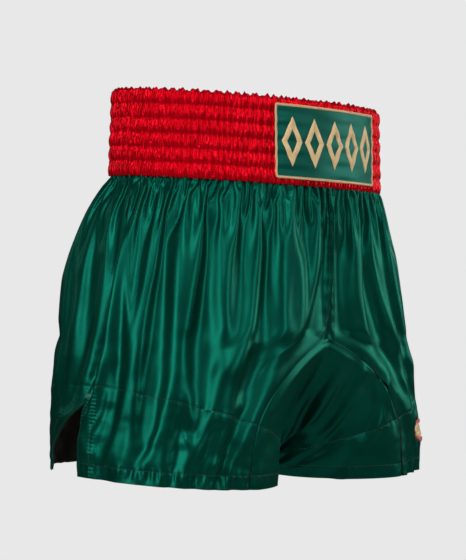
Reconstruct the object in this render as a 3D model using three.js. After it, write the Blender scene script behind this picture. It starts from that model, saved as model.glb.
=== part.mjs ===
// Thai boxing shorts: a smocked elastic waistband with a front patch, four satin body
// panels, a crotch gusset from hem to hem, faced hems and a slit up each side.
// Millimetres. +Z is up, the wearer faces -Y and +X is the wearer's left.
// The origin is the centre of the waist opening.
import * as THREE from "three";

// ---- driving dimensions --------------------------------------------------------------
const BAND_HEIGHT = 75;
const BAND_ROWS = 6;
const WAIST_HALF_WIDTH = 148;
const WAIST_HALF_DEPTH = 96;
const CROTCH_DROP = 280;
const SLIT_DROP = 267;
const HEM_DROP = 336;
const LEG_SPREAD = 105;
const LEG_HALF_WIDTH = 98.5;
const LEG_HALF_DEPTH = 104;
const FORWARD_TILT = 0.075;

const CLOTH = 1.2;
const FACING = 0.8;
const ELASTIC = 1.2;
const GAP = 0.3;
const LAYER_GAP = 0.8;

const FACING_DEPTH = 57;
const FACING_SLOPE = 25;
const SLIT_FACING_WIDTH = 14;
const BARTACK = { width: 12, height: 4, thickness: 0.9 };

const ROUND_DEPTH = 2;
const ROW_HEIGHT = BAND_HEIGHT / BAND_ROWS;
const ELASTIC_HEIGHT = 9.2;
const CASING_LIP = 1.2;
const RING_SEGMENTS = 44;

const PATCH = { width: 142, height: 66, middle: 37, thickness: 1 };
const BORDER = { width: 3, thickness: 1.6 };
const MOTIFS = 5;
const MOTIF = { width: 23, height: 44, stroke: 6, thickness: 1.2, pitch: 26 };
const EMBLEM = { width: 42, height: 24, angle: 122, drop: 298, tip: 0.08, thickness: 0.9 };

// Angles go round one leg, or round the waist, from the inner side through the front.
const FRONT_ANGLE = 90;
const SLIT_SWING = 31;
const GUSSET_ANGLE = 90;
const GUSSET_TOP_ANGLE = 70;
const GUSSET_BEND_DROP = 205;
const GUSSET_BEND = 6;

const RIGHT = -1;
const LEFT = 1;
const SIDES = { right: RIGHT, left: LEFT };

// Each leg is an oval tube. The two tubes coincide at the waist and part at the crotch.
// A station is: drop, sideways spread, half width, half depth, centre's Y, side seam's angle.
const STATIONS = [
  [0, 0, WAIST_HALF_WIDTH, WAIST_HALF_DEPTH, -4, 182],
  [BAND_HEIGHT, 0, WAIST_HALF_WIDTH + 2, WAIST_HALF_DEPTH + 2, -3, 182],
  [97, 2, WAIST_HALF_WIDTH + 16, LEG_HALF_DEPTH + 5, 4, 178],
  [133, 12, WAIST_HALF_WIDTH + 19.5, LEG_HALF_DEPTH + 10, 12, 174],
  [184, 36, WAIST_HALF_WIDTH + 6.5, LEG_HALF_DEPTH + 12, 12.5, 174],
  [228, 69, LEG_HALF_WIDTH + 29, LEG_HALF_DEPTH + 9.5, 9.5, 178],
  [CROTCH_DROP, LEG_SPREAD - 5.5, LEG_HALF_WIDTH + 2.5, LEG_HALF_DEPTH + 2, 6.5, 184],
  [HEM_DROP, LEG_SPREAD, LEG_HALF_WIDTH, LEG_HALF_DEPTH, 6.5, 183],
];

// ---- materials -----------------------------------------------------------------------
const LOOKS = {
  satin: { color: 0x0b4f40, roughness: 0.35, metalness: 0 },
  waistband: { color: 0xb40a1c, roughness: 0.4, metalness: 0 },
  lining: { color: 0x24211c, roughness: 0.8, metalness: 0 },
  elastic: { color: 0xe6e2d8, roughness: 0.85, metalness: 0 },
  braid: { color: 0xcf9f5f, roughness: 0.55, metalness: 0 },
  embroidery: { color: 0xf3c08a, roughness: 0.5, metalness: 0 },
  thread: { color: 0x0a3f34, roughness: 0.6, metalness: 0 },
};

// ---- the shape of the garment --------------------------------------------------------
function throughStations(Interpolant, stations) {
  const drops = stations.map((station) => station[0]);
  const values = stations.flatMap((station) => station.slice(1));
  return new Interpolant(drops, values, 5);
}

const bandShape = throughStations(THREE.LinearInterpolant, STATIONS.slice(0, 2));
const bodyShape = throughStations(THREE.CubicInterpolant, STATIONS.slice(1));

function shapeAt(drop) {
  const shape = drop < BAND_HEIGHT ? bandShape : bodyShape;
  const [spread, halfWidth, halfDepth, middleY, sideAngle] = shape.evaluate(drop);
  return { spread, halfWidth, halfDepth, middleY, sideAngle };
}

const radians = THREE.MathUtils.degToRad;
const degrees = THREE.MathUtils.radToDeg;
const mix = THREE.MathUtils.lerp;

// A point of the cloth: inset is how far inside the outer face it lies.
function clothPoint(side, angle, drop, inset) {
  const { spread, halfWidth, halfDepth, middleY } = shapeAt(drop);
  const x = side * (spread - (halfWidth - inset) * Math.cos(radians(angle)));
  const y = middleY - (halfDepth - inset) * Math.sin(radians(angle));
  return new THREE.Vector3(x, y, FORWARD_TILT * y - drop);
}

// The angle that spans a length of cloth at this height.
function spanAngle(length, drop) {
  const { halfWidth, halfDepth } = shapeAt(drop);
  return degrees((2 * length) / (halfWidth + halfDepth));
}

// Where a leg's tube meets the middle plane, or 0 below the crotch.
function middleAngle(drop, inset, clearance) {
  const { spread, halfWidth } = shapeAt(drop);
  const cosine = (spread - clearance) / (halfWidth - inset);
  return cosine >= 1 ? 0 : degrees(Math.acos(cosine));
}

// The gusset's edge runs straight up the leg, then bends in to the middle.
function gussetAngle(drop) {
  const climb = (HEM_DROP - drop) / (HEM_DROP - GUSSET_BEND_DROP);
  return mix(GUSSET_ANGLE, GUSSET_TOP_ANGLE, climb ** GUSSET_BEND);
}

// The height at which a line of the gusset reaches the middle plane.
function gussetTopDrop(share, inset) {
  let above = GUSSET_BEND_DROP - 60;
  let below = CROTCH_DROP + 20;
  for (let i = 0; i < 40; i += 1) {
    const drop = (above + below) / 2;
    const crossed = middleAngle(drop, inset, 0) < Math.abs(share) * gussetAngle(drop);
    if (crossed) {
      below = drop;
    } else {
      above = drop;
    }
  }
  return (above + below) / 2;
}

function panelInnerAngle(drop, inset) {
  const besideGusset = gussetAngle(drop) + spanAngle(GAP, drop);
  return Math.max(middleAngle(drop, inset, GAP / 2), besideGusset);
}

// How open the slit is: 0 above it and 1 at the hem.
function slitOpening(drop) {
  const progress = Math.max(0, (drop - SLIT_DROP) / (HEM_DROP - SLIT_DROP));
  return Math.sin((Math.PI / 2) * progress);
}

function frontEdgeAngle(drop) {
  return shapeAt(drop).sideAngle - spanAngle(GAP / 2, drop);
}

function backEdgeAngle(drop) {
  return shapeAt(drop).sideAngle + SLIT_SWING * slitOpening(drop) + spanAngle(GAP / 2, drop);
}

// How far up the facing reaches: highest at the side, lowest at the inner leg.
function facingTopDrop(angle) {
  return HEM_DROP - FACING_DEPTH + FACING_SLOPE * Math.cos(radians(angle));
}

// ---- closed solids from grids of points ----------------------------------------------
function signedVolume(points, faces) {
  const corner = (i) => points[i];
  const cross = new THREE.Vector3();
  return faces.reduce(
    (sum, [a, b, c]) => sum + corner(a).dot(cross.crossVectors(corner(b), corner(c))) / 6,
    0,
  );
}

function solidGeometry(points, faces) {
  const outward = signedVolume(points, faces) > 0;
  const turned = outward ? faces : faces.map(([a, b, c]) => [a, c, b]);
  const geometry = new THREE.BufferGeometry().setFromPoints(points);
  geometry.setIndex(turned.flat());
  geometry.computeVertexNormals();
  return geometry;
}

function quad(a, b, c, d) {
  return [
    [a, b, c],
    [a, c, d],
  ];
}

// A plate between an outer and an inner face: point(u, v, outer) with u and v from 0 to 1.
function plateGeometry(columns, rows, point) {
  const points = [];
  const index = (i, j, face) => (face * (rows + 1) + j) * (columns + 1) + i;
  for (const face of [0, 1]) {
    for (let j = 0; j <= rows; j += 1) {
      for (let i = 0; i <= columns; i += 1) {
        points.push(point(i / columns, j / rows, face === 0));
      }
    }
  }
  const faces = [];
  for (let j = 0; j < rows; j += 1) {
    for (let i = 0; i < columns; i += 1) {
      faces.push(...quad(index(i, j, 0), index(i + 1, j, 0), index(i + 1, j + 1, 0), index(i, j + 1, 0)));
      faces.push(...quad(index(i, j, 1), index(i, j + 1, 1), index(i + 1, j + 1, 1), index(i + 1, j, 1)));
    }
  }
  for (let i = 0; i < columns; i += 1) {
    faces.push(...quad(index(i, 0, 0), index(i, 0, 1), index(i + 1, 0, 1), index(i + 1, 0, 0)));
    faces.push(...quad(index(i, rows, 0), index(i + 1, rows, 0), index(i + 1, rows, 1), index(i, rows, 1)));
  }
  const last = columns;
  for (let j = 0; j < rows; j += 1) {
    faces.push(...quad(index(0, j, 0), index(0, j + 1, 0), index(0, j + 1, 1), index(0, j, 1)));
    faces.push(...quad(index(last, j, 0), index(last, j, 1), index(last, j + 1, 1), index(last, j + 1, 0)));
  }
  return solidGeometry(points, faces);
}

// A closed loop of one closed section: point(step, corner).
function loopGeometry(steps, corners, point) {
  const points = [];
  const faces = [];
  for (let i = 0; i < steps; i += 1) {
    for (let k = 0; k < corners; k += 1) {
      points.push(point(i, k));
      const next = ((i + 1) % steps) * corners;
      const over = (k + 1) % corners;
      faces.push(...quad(i * corners + k, next + k, next + over, i * corners + over));
    }
  }
  return solidGeometry(points, faces);
}

// ---- placing and naming --------------------------------------------------------------
const shorts = new THREE.Group();

function addPiece(name, look, geometry) {
  const mesh = new THREE.Mesh(geometry, new THREE.MeshStandardMaterial(LOOKS[look]));
  mesh.name = name;
  shorts.add(mesh);
}

function layer(outerInset, thickness) {
  return (outer) => (outer ? outerInset : outerInset + thickness);
}

const panelLayer = layer(0, CLOTH);
const facingLayer = layer(CLOTH + LAYER_GAP, FACING);

// ---- body panels ---------------------------------------------------------------------
const PANEL_COLUMNS = 16;
const GUSSET_TOP = gussetTopDrop(1, 0);

function spaced(from, to, steps) {
  return Array.from({ length: steps }, (_, i) => mix(from, to, i / steps));
}

// Rows fall on the gusset's top corner and on the top of the slit. Below that corner the
// gusset's edge has the same rows, so the two edges stay parallel.
const UPPER_DROPS = spaced(BAND_HEIGHT + GAP, GUSSET_TOP, 6);
const LOWER_DROPS = [...spaced(GUSSET_TOP, SLIT_DROP, 4), ...spaced(SLIT_DROP, HEM_DROP, 6), HEM_DROP];
const PANEL_DROPS = [...UPPER_DROPS, ...LOWER_DROPS];
const PANEL_ROWS = PANEL_DROPS.length - 1;
const panelDrop = (v) => PANEL_DROPS[Math.round(v * PANEL_ROWS)];

function frontPanel(side) {
  return plateGeometry(PANEL_COLUMNS, PANEL_ROWS, (u, v, outer) => {
    const drop = panelDrop(v);
    const inset = panelLayer(outer);
    const angle = mix(panelInnerAngle(drop, inset), frontEdgeAngle(drop), u);
    return clothPoint(side, angle, drop, inset);
  });
}

function backPanel(side) {
  return plateGeometry(PANEL_COLUMNS, PANEL_ROWS, (u, v, outer) => {
    const drop = panelDrop(v);
    const inset = panelLayer(outer);
    const angle = mix(backEdgeAngle(drop), 360 - panelInnerAngle(drop, inset), u);
    return clothPoint(side, angle, drop, inset);
  });
}

// ---- crotch gusset -------------------------------------------------------------------
const GUSSET_COLUMNS = 22;
const GUSSET_ROWS = LOWER_DROPS.length - 1;

// How far up a leg each row is, from 0 at the hem to 1 at the middle plane.
function gussetClimb(v) {
  const row = Math.round(GUSSET_ROWS * Math.abs(2 * v - 1));
  return (HEM_DROP - LOWER_DROPS[row]) / (HEM_DROP - GUSSET_TOP);
}

function gusset() {
  return plateGeometry(GUSSET_COLUMNS, 2 * GUSSET_ROWS, (u, v, outer) => {
    const inset = panelLayer(outer);
    const share = 2 * u - 1;
    const climb = gussetClimb(v);
    const drop = mix(HEM_DROP, gussetTopDrop(share, inset), climb);
    const side = v < 0.5 ? RIGHT : LEFT;
    const point = clothPoint(side, share * gussetAngle(drop), drop, inset);
    if (climb === 1) {
      point.x = 0;
    }
    return point;
  });
}

// ---- facings and slits ---------------------------------------------------------------
const FACING_COLUMNS = 14;
const FACING_ROWS = 6;

function facing(side, startAngle, endAngle) {
  return plateGeometry(FACING_COLUMNS, FACING_ROWS, (u, v, outer) => {
    const atHem = mix(startAngle(HEM_DROP), endAngle(HEM_DROP), u);
    const drop = mix(facingTopDrop(atHem), HEM_DROP, v);
    const angle = mix(startAngle(drop), endAngle(drop), u);
    return clothPoint(side, angle, drop, facingLayer(outer));
  });
}

const facingInset = (drop) => spanAngle(SLIT_FACING_WIDTH + GAP, drop);

function frontFacing(side) {
  const start = (drop) => spanAngle(GAP / 2, drop);
  const end = (drop) => frontEdgeAngle(drop) - facingInset(drop);
  return facing(side, start, end);
}

function backFacing(side) {
  const start = (drop) => backEdgeAngle(drop) + facingInset(drop);
  const end = (drop) => 360 - spanAngle(GAP / 2, drop);
  return facing(side, start, end);
}

// A narrow strip behind one edge of the slit, as tall as the hem facing beside it;
// inward is +1 or -1 in angle.
function slitFacing(side, edgeAngle, inward) {
  const angleAt = (u, drop) => edgeAngle(drop) + inward * u * spanAngle(SLIT_FACING_WIDTH, drop);
  const top = facingTopDrop(angleAt(1, HEM_DROP));
  return plateGeometry(2, FACING_ROWS, (u, v, outer) => {
    const drop = mix(top, HEM_DROP, v);
    return clothPoint(side, angleAt(u, drop), drop, facingLayer(outer));
  });
}

function bartack(side) {
  const barLayer = layer(-GAP - BARTACK.thickness, BARTACK.thickness);
  return plateGeometry(4, 1, (u, v, outer) => {
    const drop = SLIT_DROP + mix(-BARTACK.height, 0, v);
    const angle = shapeAt(drop).sideAngle + mix(-0.5, 0.5, u) * spanAngle(BARTACK.width, drop);
    return clothPoint(side, angle, drop, barLayer(outer));
  });
}

// ---- waistband -----------------------------------------------------------------------
// A ring round the waist with a section of [inset, drop] corners.
function waistRing(section) {
  return loopGeometry(RING_SEGMENTS, section.length, (step, corner) => {
    const [inset, drop] = section[corner];
    return clothPoint(LEFT, (360 * step) / RING_SEGMENTS, drop, inset);
  });
}

const CASING_BACK = CLOTH;
const ELASTIC_FACE = CASING_BACK + LAYER_GAP;
const INNER_FACE = ELASTIC_FACE + ELASTIC + LAYER_GAP;
const INNER_BACK = INNER_FACE + CLOTH;

// Six rounds on the outside, and a lip folded inwards over the top.
function outerCasingSection() {
  const section = [[0, 0]];
  for (let row = 0; row < BAND_ROWS; row += 1) {
    section.push([-ROUND_DEPTH, (row + 0.25) * ROW_HEIGHT]);
    section.push([-ROUND_DEPTH, (row + 0.75) * ROW_HEIGHT]);
    section.push([0, (row + 1) * ROW_HEIGHT]);
  }
  section.push([CASING_BACK, BAND_HEIGHT]);
  section.push([CASING_BACK, CASING_LIP]);
  section.push([INNER_BACK, CASING_LIP]);
  section.push([INNER_BACK, 0]);
  return section;
}

function stripSection(face, thickness, top, bottom) {
  return [
    [face, top],
    [face, bottom],
    [face + thickness, bottom],
    [face + thickness, top],
  ];
}

function elasticSection(row) {
  const middle = (row + 0.5) * ROW_HEIGHT;
  const top = middle - ELASTIC_HEIGHT / 2;
  return stripSection(ELASTIC_FACE, ELASTIC, top, top + ELASTIC_HEIGHT);
}

// ---- patch, motifs and emblem --------------------------------------------------------
// Places a flat geometry on the cloth: x runs along it, y up and z outwards.
function wrap(geometry, side, angle, drop, outset) {
  const flat = geometry.getAttribute("position");
  const point = new THREE.Vector3();
  for (let i = 0; i < flat.count; i += 1) {
    point.fromBufferAttribute(flat, i);
    const height = drop - point.y;
    const turn = angle + spanAngle(point.x, height) * arcShare(angle, height);
    const placed = clothPoint(side, turn, height, -outset - point.z);
    flat.setXYZ(i, placed.x, placed.y, placed.z);
  }
  geometry.deleteAttribute("normal");
  geometry.deleteAttribute("uv");
  const points = [];
  for (let i = 0; i < flat.count; i += 1) {
    points.push(new THREE.Vector3().fromBufferAttribute(flat, i));
  }
  return facesFrom(points);
}

// The oval's mean radius over its radius of travel at this angle.
function arcShare(angle, drop) {
  const { halfWidth, halfDepth } = shapeAt(drop);
  const travel = Math.hypot(halfWidth * Math.sin(radians(angle)), halfDepth * Math.cos(radians(angle)));
  return (halfWidth + halfDepth) / 2 / travel;
}

// Each three points are one face; the shared ones are merged.
function facesFrom(corners) {
  const points = [];
  const known = new Map();
  const indexOf = (corner) => {
    const key = corner.toArray().map((value) => value.toFixed(3)).join();
    if (!known.has(key)) {
      known.set(key, points.push(corner) - 1);
    }
    return known.get(key);
  };
  const faces = [];
  for (let i = 0; i < corners.length; i += 3) {
    faces.push([indexOf(corners[i]), indexOf(corners[i + 1]), indexOf(corners[i + 2])]);
  }
  return solidGeometry(points, faces);
}

function lozengePath(path, halfWidth, halfHeight) {
  path.moveTo(halfWidth, 0);
  path.lineTo(0, halfHeight);
  path.lineTo(-halfWidth, 0);
  path.lineTo(0, -halfHeight);
  path.closePath();
  return path;
}

function openLozenge(width, height, stroke) {
  const shape = lozengePath(new THREE.Shape(), width / 2, height / 2);
  const share = 1 - (2 * stroke) / width;
  shape.holes.push(lozengePath(new THREE.Path(), (width / 2) * share, (height / 2) * share));
  return shape;
}

const PATCH_OUTSET = ROUND_DEPTH + LAYER_GAP;
const PATCH_COLUMNS = 16;

function patchPoint(across, up, outset) {
  const drop = PATCH.middle - up;
  const turn = spanAngle(across, drop) * arcShare(FRONT_ANGLE, drop);
  return clothPoint(LEFT, FRONT_ANGLE + turn, drop, -outset);
}

function patch() {
  const width = PATCH.width - 2 * (BORDER.width + GAP);
  const height = PATCH.height - 2 * (BORDER.width + GAP);
  return plateGeometry(PATCH_COLUMNS, 1, (u, v, outer) => {
    const outset = PATCH_OUTSET + (outer ? PATCH.thickness : 0);
    return patchPoint((u - 0.5) * width, (0.5 - v) * height, outset);
  });
}

// The border runs along the patch's top and back along its bottom.
function border() {
  const steps = 2 * (PATCH_COLUMNS + 1);
  const corners = [
    [0, 0],
    [0, 1],
    [1, 1],
    [1, 0],
  ];
  return loopGeometry(steps, corners.length, (step, corner) => {
    const [inward, high] = corners[corner];
    const onTop = step <= PATCH_COLUMNS;
    const share = onTop ? step / PATCH_COLUMNS : (steps - 1 - step) / PATCH_COLUMNS;
    const width = PATCH.width - 2 * inward * BORDER.width;
    const height = PATCH.height - 2 * inward * BORDER.width;
    const up = (onTop ? 0.5 : -0.5) * height;
    return patchPoint((share - 0.5) * width, up, PATCH_OUTSET + high * BORDER.thickness);
  });
}

function motif(number) {
  const shape = openLozenge(MOTIF.width, MOTIF.height, MOTIF.stroke);
  const flat = new THREE.ExtrudeGeometry(shape, { depth: MOTIF.thickness, bevelEnabled: false });
  flat.translate((number - (MOTIFS + 1) / 2) * MOTIF.pitch, 0, 0);
  return wrap(flat, LEFT, FRONT_ANGLE, PATCH.middle, PATCH_OUTSET + PATCH.thickness + LAYER_GAP);
}

// A lozenge with blunt tips, bent round the leg.
function emblem() {
  return plateGeometry(8, 1, (u, v, outer) => {
    const fullness = Math.max(EMBLEM.tip, 1 - Math.abs(2 * u - 1));
    const drop = EMBLEM.drop + (v - 0.5) * EMBLEM.height * fullness;
    const turn = spanAngle((u - 0.5) * EMBLEM.width, drop);
    const outset = LAYER_GAP + (outer ? EMBLEM.thickness : 0);
    return clothPoint(LEFT, EMBLEM.angle + turn, drop, -outset);
  });
}

// ---- the shorts ----------------------------------------------------------------------
for (const [word, side] of Object.entries(SIDES)) {
  addPiece(`front_panel_${word}`, "satin", frontPanel(side));
  addPiece(`back_panel_${word}`, "satin", backPanel(side));
  addPiece(`hem_facing_front_${word}`, "lining", frontFacing(side));
  addPiece(`hem_facing_back_${word}`, "lining", backFacing(side));
  addPiece(`slit_facing_front_${word}`, "lining", slitFacing(side, frontEdgeAngle, -1));
  addPiece(`slit_facing_back_${word}`, "lining", slitFacing(side, backEdgeAngle, 1));
  addPiece(`slit_bartack_${word}`, "thread", bartack(side));
}
addPiece("crotch_gusset", "satin", gusset());
addPiece("waistband_outer", "waistband", waistRing(outerCasingSection()));
const innerTop = CASING_LIP + GAP;
addPiece("waistband_inner", "waistband", waistRing(stripSection(INNER_FACE, CLOTH, innerTop, BAND_HEIGHT)));
for (let row = 0; row < BAND_ROWS; row += 1) {
  addPiece(`elastic_band_${row + 1}`, "elastic", waistRing(elasticSection(row)));
}
addPiece("front_patch", "satin", patch());
addPiece("patch_border", "braid", border());
for (let number = 1; number <= MOTIFS; number += 1) {
  addPiece(`patch_motif_${number}`, "embroidery", motif(number));
}
addPiece("leg_emblem", "embroidery", emblem());

export default shorts;
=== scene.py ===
"""Thai boxing shorts: a gathered satin body, a smocked waistband and an embroidered patch."""

import math

import bpy
import numpy as np
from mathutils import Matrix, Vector


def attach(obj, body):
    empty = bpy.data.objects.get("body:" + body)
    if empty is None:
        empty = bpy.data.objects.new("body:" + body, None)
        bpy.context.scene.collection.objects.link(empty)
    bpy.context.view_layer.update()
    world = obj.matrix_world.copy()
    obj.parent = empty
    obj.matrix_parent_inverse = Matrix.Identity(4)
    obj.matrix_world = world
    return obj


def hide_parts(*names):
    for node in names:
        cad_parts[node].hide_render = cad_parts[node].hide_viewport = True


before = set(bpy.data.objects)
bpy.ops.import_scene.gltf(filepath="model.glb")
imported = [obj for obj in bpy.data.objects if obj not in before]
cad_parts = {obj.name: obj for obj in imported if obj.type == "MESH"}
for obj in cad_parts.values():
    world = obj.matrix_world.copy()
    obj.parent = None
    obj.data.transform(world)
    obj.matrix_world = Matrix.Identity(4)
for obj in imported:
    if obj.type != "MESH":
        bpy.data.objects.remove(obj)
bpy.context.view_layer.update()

MM = 0.001
RIGHT, LEFT = -1, 1
SEED = 20

# ---- the garment's shape, as in the CAD model ----------------------------------------
BAND_HEIGHT = 75 * MM
BAND_ROWS = 6
ROW_HEIGHT = BAND_HEIGHT / BAND_ROWS
WAIST_HALF_WIDTH = 148 * MM
WAIST_HALF_DEPTH = 96 * MM
LEG_SPREAD = 105 * MM
LEG_HALF_WIDTH = 98.5 * MM
LEG_HALF_DEPTH = 104 * MM
CROTCH_DROP = 280 * MM
SLIT_DROP = 267 * MM
HEM_DROP = 336 * MM
FORWARD_TILT = 0.075
SLIT_SWING = 31
GUSSET_ANGLE = 90
GUSSET_TOP_ANGLE = 70
GUSSET_BEND_DROP = 205 * MM
GUSSET_BEND = 6
FACING_DEPTH = 57 * MM
FACING_SLOPE = 25 * MM

# A station is: drop, sideways spread, half width, half depth, centre's Y.
STATIONS = np.array(
    [
        [BAND_HEIGHT, 0, WAIST_HALF_WIDTH + 2 * MM, WAIST_HALF_DEPTH + 2 * MM, -3 * MM],
        [97 * MM, 2 * MM, WAIST_HALF_WIDTH + 16 * MM, LEG_HALF_DEPTH + 5 * MM, 4 * MM],
        [133 * MM, 12 * MM, WAIST_HALF_WIDTH + 19.5 * MM, LEG_HALF_DEPTH + 10 * MM, 12 * MM],
        [184 * MM, 36 * MM, WAIST_HALF_WIDTH + 6.5 * MM, LEG_HALF_DEPTH + 12 * MM, 12.5 * MM],
        [228 * MM, 69 * MM, LEG_HALF_WIDTH + 29 * MM, LEG_HALF_DEPTH + 9.5 * MM, 9.5 * MM],
        [CROTCH_DROP, LEG_SPREAD - 5.5 * MM, LEG_HALF_WIDTH + 2.5 * MM, LEG_HALF_DEPTH + 2 * MM, 6.5 * MM],
        [HEM_DROP, LEG_SPREAD, LEG_HALF_WIDTH, LEG_HALF_DEPTH, 6.5 * MM],
    ]
)
# The side seam's angle at each station.
SIDE_ANGLES = np.array([[182], [178], [174], [174], [178], [184], [183]])


def cubic_through(knots, values, at):
    """A smooth curve through the knots, with the slope at each taken from its neighbours."""
    slopes = np.gradient(values, knots, axis=0)
    at = np.clip(at, knots[0], knots[-1])
    cell = np.clip(np.searchsorted(knots, at) - 1, 0, len(knots) - 2)
    width = knots[cell + 1] - knots[cell]
    t = ((at - knots[cell]) / width)[..., None]
    width = width[..., None]
    low, high = values[cell], values[cell + 1]
    low_slope, high_slope = slopes[cell] * width, slopes[cell + 1] * width
    return (
        low * (2 * t**3 - 3 * t**2 + 1)
        + low_slope * (t**3 - 2 * t**2 + t)
        + high * (3 * t**2 - 2 * t**3)
        + high_slope * (t**3 - t**2)
    )


def shape_at(drop):
    """Spread, half width, half depth and middle Y of a leg's tube at this drop."""
    drop = np.asarray(drop, float)
    shape = cubic_through(STATIONS[:, 0], STATIONS[:, 1:], drop)
    in_band = drop < BAND_HEIGHT
    share = np.clip(drop / BAND_HEIGHT, 0, 1)[..., None]
    top = np.array([0, WAIST_HALF_WIDTH, WAIST_HALF_DEPTH, -4 * MM])
    band = top + (STATIONS[0, 1:] - top) * share
    return np.moveaxis(np.where(in_band[..., None], band, shape), -1, 0)


def cloth_point(side, angle, drop, outset=0.0):
    """A point of the garment, with angle in degrees from a leg's inner side through its front."""
    spread, half_width, half_depth, middle_y = shape_at(drop)
    turn = np.radians(angle)
    x = side * (spread - (half_width + outset) * np.cos(turn))
    y = middle_y - (half_depth + outset) * np.sin(turn)
    return np.stack(np.broadcast_arrays(x, y, FORWARD_TILT * y - drop), -1)


def middle_angle(drop):
    """Where a leg's tube meets the middle plane, or 0 below the crotch."""
    spread, half_width, _, _ = shape_at(drop)
    return np.degrees(np.arccos(np.clip(spread / half_width, -1, 1)))


def gusset_angle(drop):
    """The gusset's edge, which runs straight up the leg and then bends in to the middle."""
    climb = (HEM_DROP - np.asarray(drop)) / (HEM_DROP - GUSSET_BEND_DROP)
    return GUSSET_ANGLE + (GUSSET_TOP_ANGLE - GUSSET_ANGLE) * np.clip(climb, 0, None) ** GUSSET_BEND


def gusset_top_drop(share):
    """The drop at which each line of the gusset reaches the middle plane."""
    above = np.full_like(share, GUSSET_BEND_DROP - 60 * MM)
    below = np.full_like(share, CROTCH_DROP + 20 * MM)
    for _ in range(40):
        drop = (above + below) / 2
        crossed = middle_angle(drop) < np.abs(share) * gusset_angle(drop)
        below = np.where(crossed, drop, below)
        above = np.where(crossed, above, drop)
    return (above + below) / 2


def front_edge(drop):
    """The angle of the side seam, and below it of the slit's front edge."""
    return cubic_through(STATIONS[:, 0], SIDE_ANGLES, np.asarray(drop, float))[..., 0]


def back_edge(drop):
    """The angle of the side seam, and below it of the slit's back edge."""
    progress = np.clip((drop - SLIT_DROP) / (HEM_DROP - SLIT_DROP), 0, 1)
    return front_edge(drop) + SLIT_SWING * np.sin(math.pi / 2 * progress)


# ---- the cloth's grids ---------------------------------------------------------------
# Four panels share one array: front right, back right, front left, back left. Columns run
# from the middle seam to the side seam and rows from the waist to the hem. The gusset's
# rows run from the right hem over the crotch to the left hem, its columns back to front.
PANEL_NAMES = ["front_panel_right", "back_panel_right", "front_panel_left", "back_panel_left"]
PANEL_SIDES = [RIGHT, RIGHT, LEFT, LEFT]
GUSSET_TOP = float(gusset_top_drop(np.array([1.0]))[0])
TUCK = 1.5 * MM
GATHER_INSET = 0.8 * MM


class Grid:
    """Row and column counts at one level of detail, and the smooth cloth on them."""

    def __init__(self, upper, lower, slit, across, gusset_across):
        self.upper, self.lower, self.slit = upper, lower, slit
        self.across, self.gusset_across = across, gusset_across
        top = BAND_HEIGHT - TUCK
        self.drops = np.concatenate(
            [
                np.linspace(top, GUSSET_TOP, upper, endpoint=False),
                np.linspace(GUSSET_TOP, SLIT_DROP, lower, endpoint=False),
                np.linspace(SLIT_DROP, HEM_DROP, slit + 1),
            ]
        )
        self.slit_row = upper + lower
        self.leg_rows = lower + slit

    def refined(self, along, around):
        """The same garment with more rows and columns."""
        return Grid(
            self.upper * along, self.lower * along, self.slit * along,
            self.across * around, self.gusset_across * around,
        )

    def leg_climbs(self):
        """How far up a leg each row is, from 0 at the hem to 1 at the gusset's top corner."""
        return (HEM_DROP - self.drops[self.upper :][::-1]) / (HEM_DROP - GUSSET_TOP)

    def panel_angles(self):
        drop = self.drops[:, None]
        share = np.linspace(0, 1, self.across + 1)[None]
        inner = np.maximum(middle_angle(drop), gusset_angle(drop))
        front = inner + (front_edge(drop) - inner) * share
        back = 360 - inner + (back_edge(drop) - 360 + inner) * share
        return np.stack([front, back, front, back])

    def panels(self):
        angles = self.panel_angles()
        drop = np.broadcast_to(self.drops[:, None], angles[0].shape)
        return np.stack([cloth_point(s, a, drop) for s, a in zip(PANEL_SIDES, angles)])

    def gusset_drops(self):
        share = np.linspace(-1, 1, self.gusset_across + 1)
        climb = self.leg_climbs()
        both = np.concatenate([climb, climb[-2::-1]])[:, None]
        return share[None], HEM_DROP + (gusset_top_drop(share)[None] - HEM_DROP) * both

    def gusset(self):
        share, drops = self.gusset_drops()
        angles = share * gusset_angle(drops)
        right = cloth_point(RIGHT, angles, drops)
        left = cloth_point(LEFT, angles, drops)
        rows = np.arange(len(drops))[:, None, None]
        points = np.where(rows <= self.leg_rows, right, left)
        points[self.leg_rows, :, 0] = 0
        return points


def gusset_joins(grid):
    """Each panel's index, its column of the gusset, and the gusset's rows from top to hem."""
    legs = grid.leg_rows
    return (
        (0, -1, slice(legs, None, -1)),
        (1, 0, slice(legs, None, -1)),
        (2, -1, slice(legs, None)),
        (3, 0, slice(legs, None)),
    )


def weld(grid, panels, gusset):
    """Joins the sewn edges of the pieces at their mean place."""
    up, slit_row = grid.upper, grid.slit_row
    for front, back in ((0, 1), (2, 3)):
        seam = (panels[front, : slit_row + 1, -1] + panels[back, : slit_row + 1, -1]) / 2
        panels[front, : slit_row + 1, -1] = seam
        panels[back, : slit_row + 1, -1] = seam
    for right, left in ((0, 2), (1, 3)):
        seam = (panels[right, : up + 1, 0] + panels[left, : up + 1, 0]) / 2
        seam[:, 0] = 0
        panels[right, : up + 1, 0] = seam
        panels[left, : up + 1, 0] = seam
    for panel, column, rows in gusset_joins(grid):
        edge = gusset[rows, column]
        seam = (panels[panel, up:, 0] + edge) / 2
        panels[panel, up:, 0] = seam
        gusset[rows, column] = seam


# ---- cloth simulation ----------------------------------------------------------------
SAG = 2.5 * MM
DAMPING = 0.985
SHEAR_STIFFNESS = 0.35
BEND_STIFFNESS = 0.12
# How much lower the hem is cut at the inner leg than at its front, and higher at its side.
INNER_DIP = 3 * MM
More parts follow.
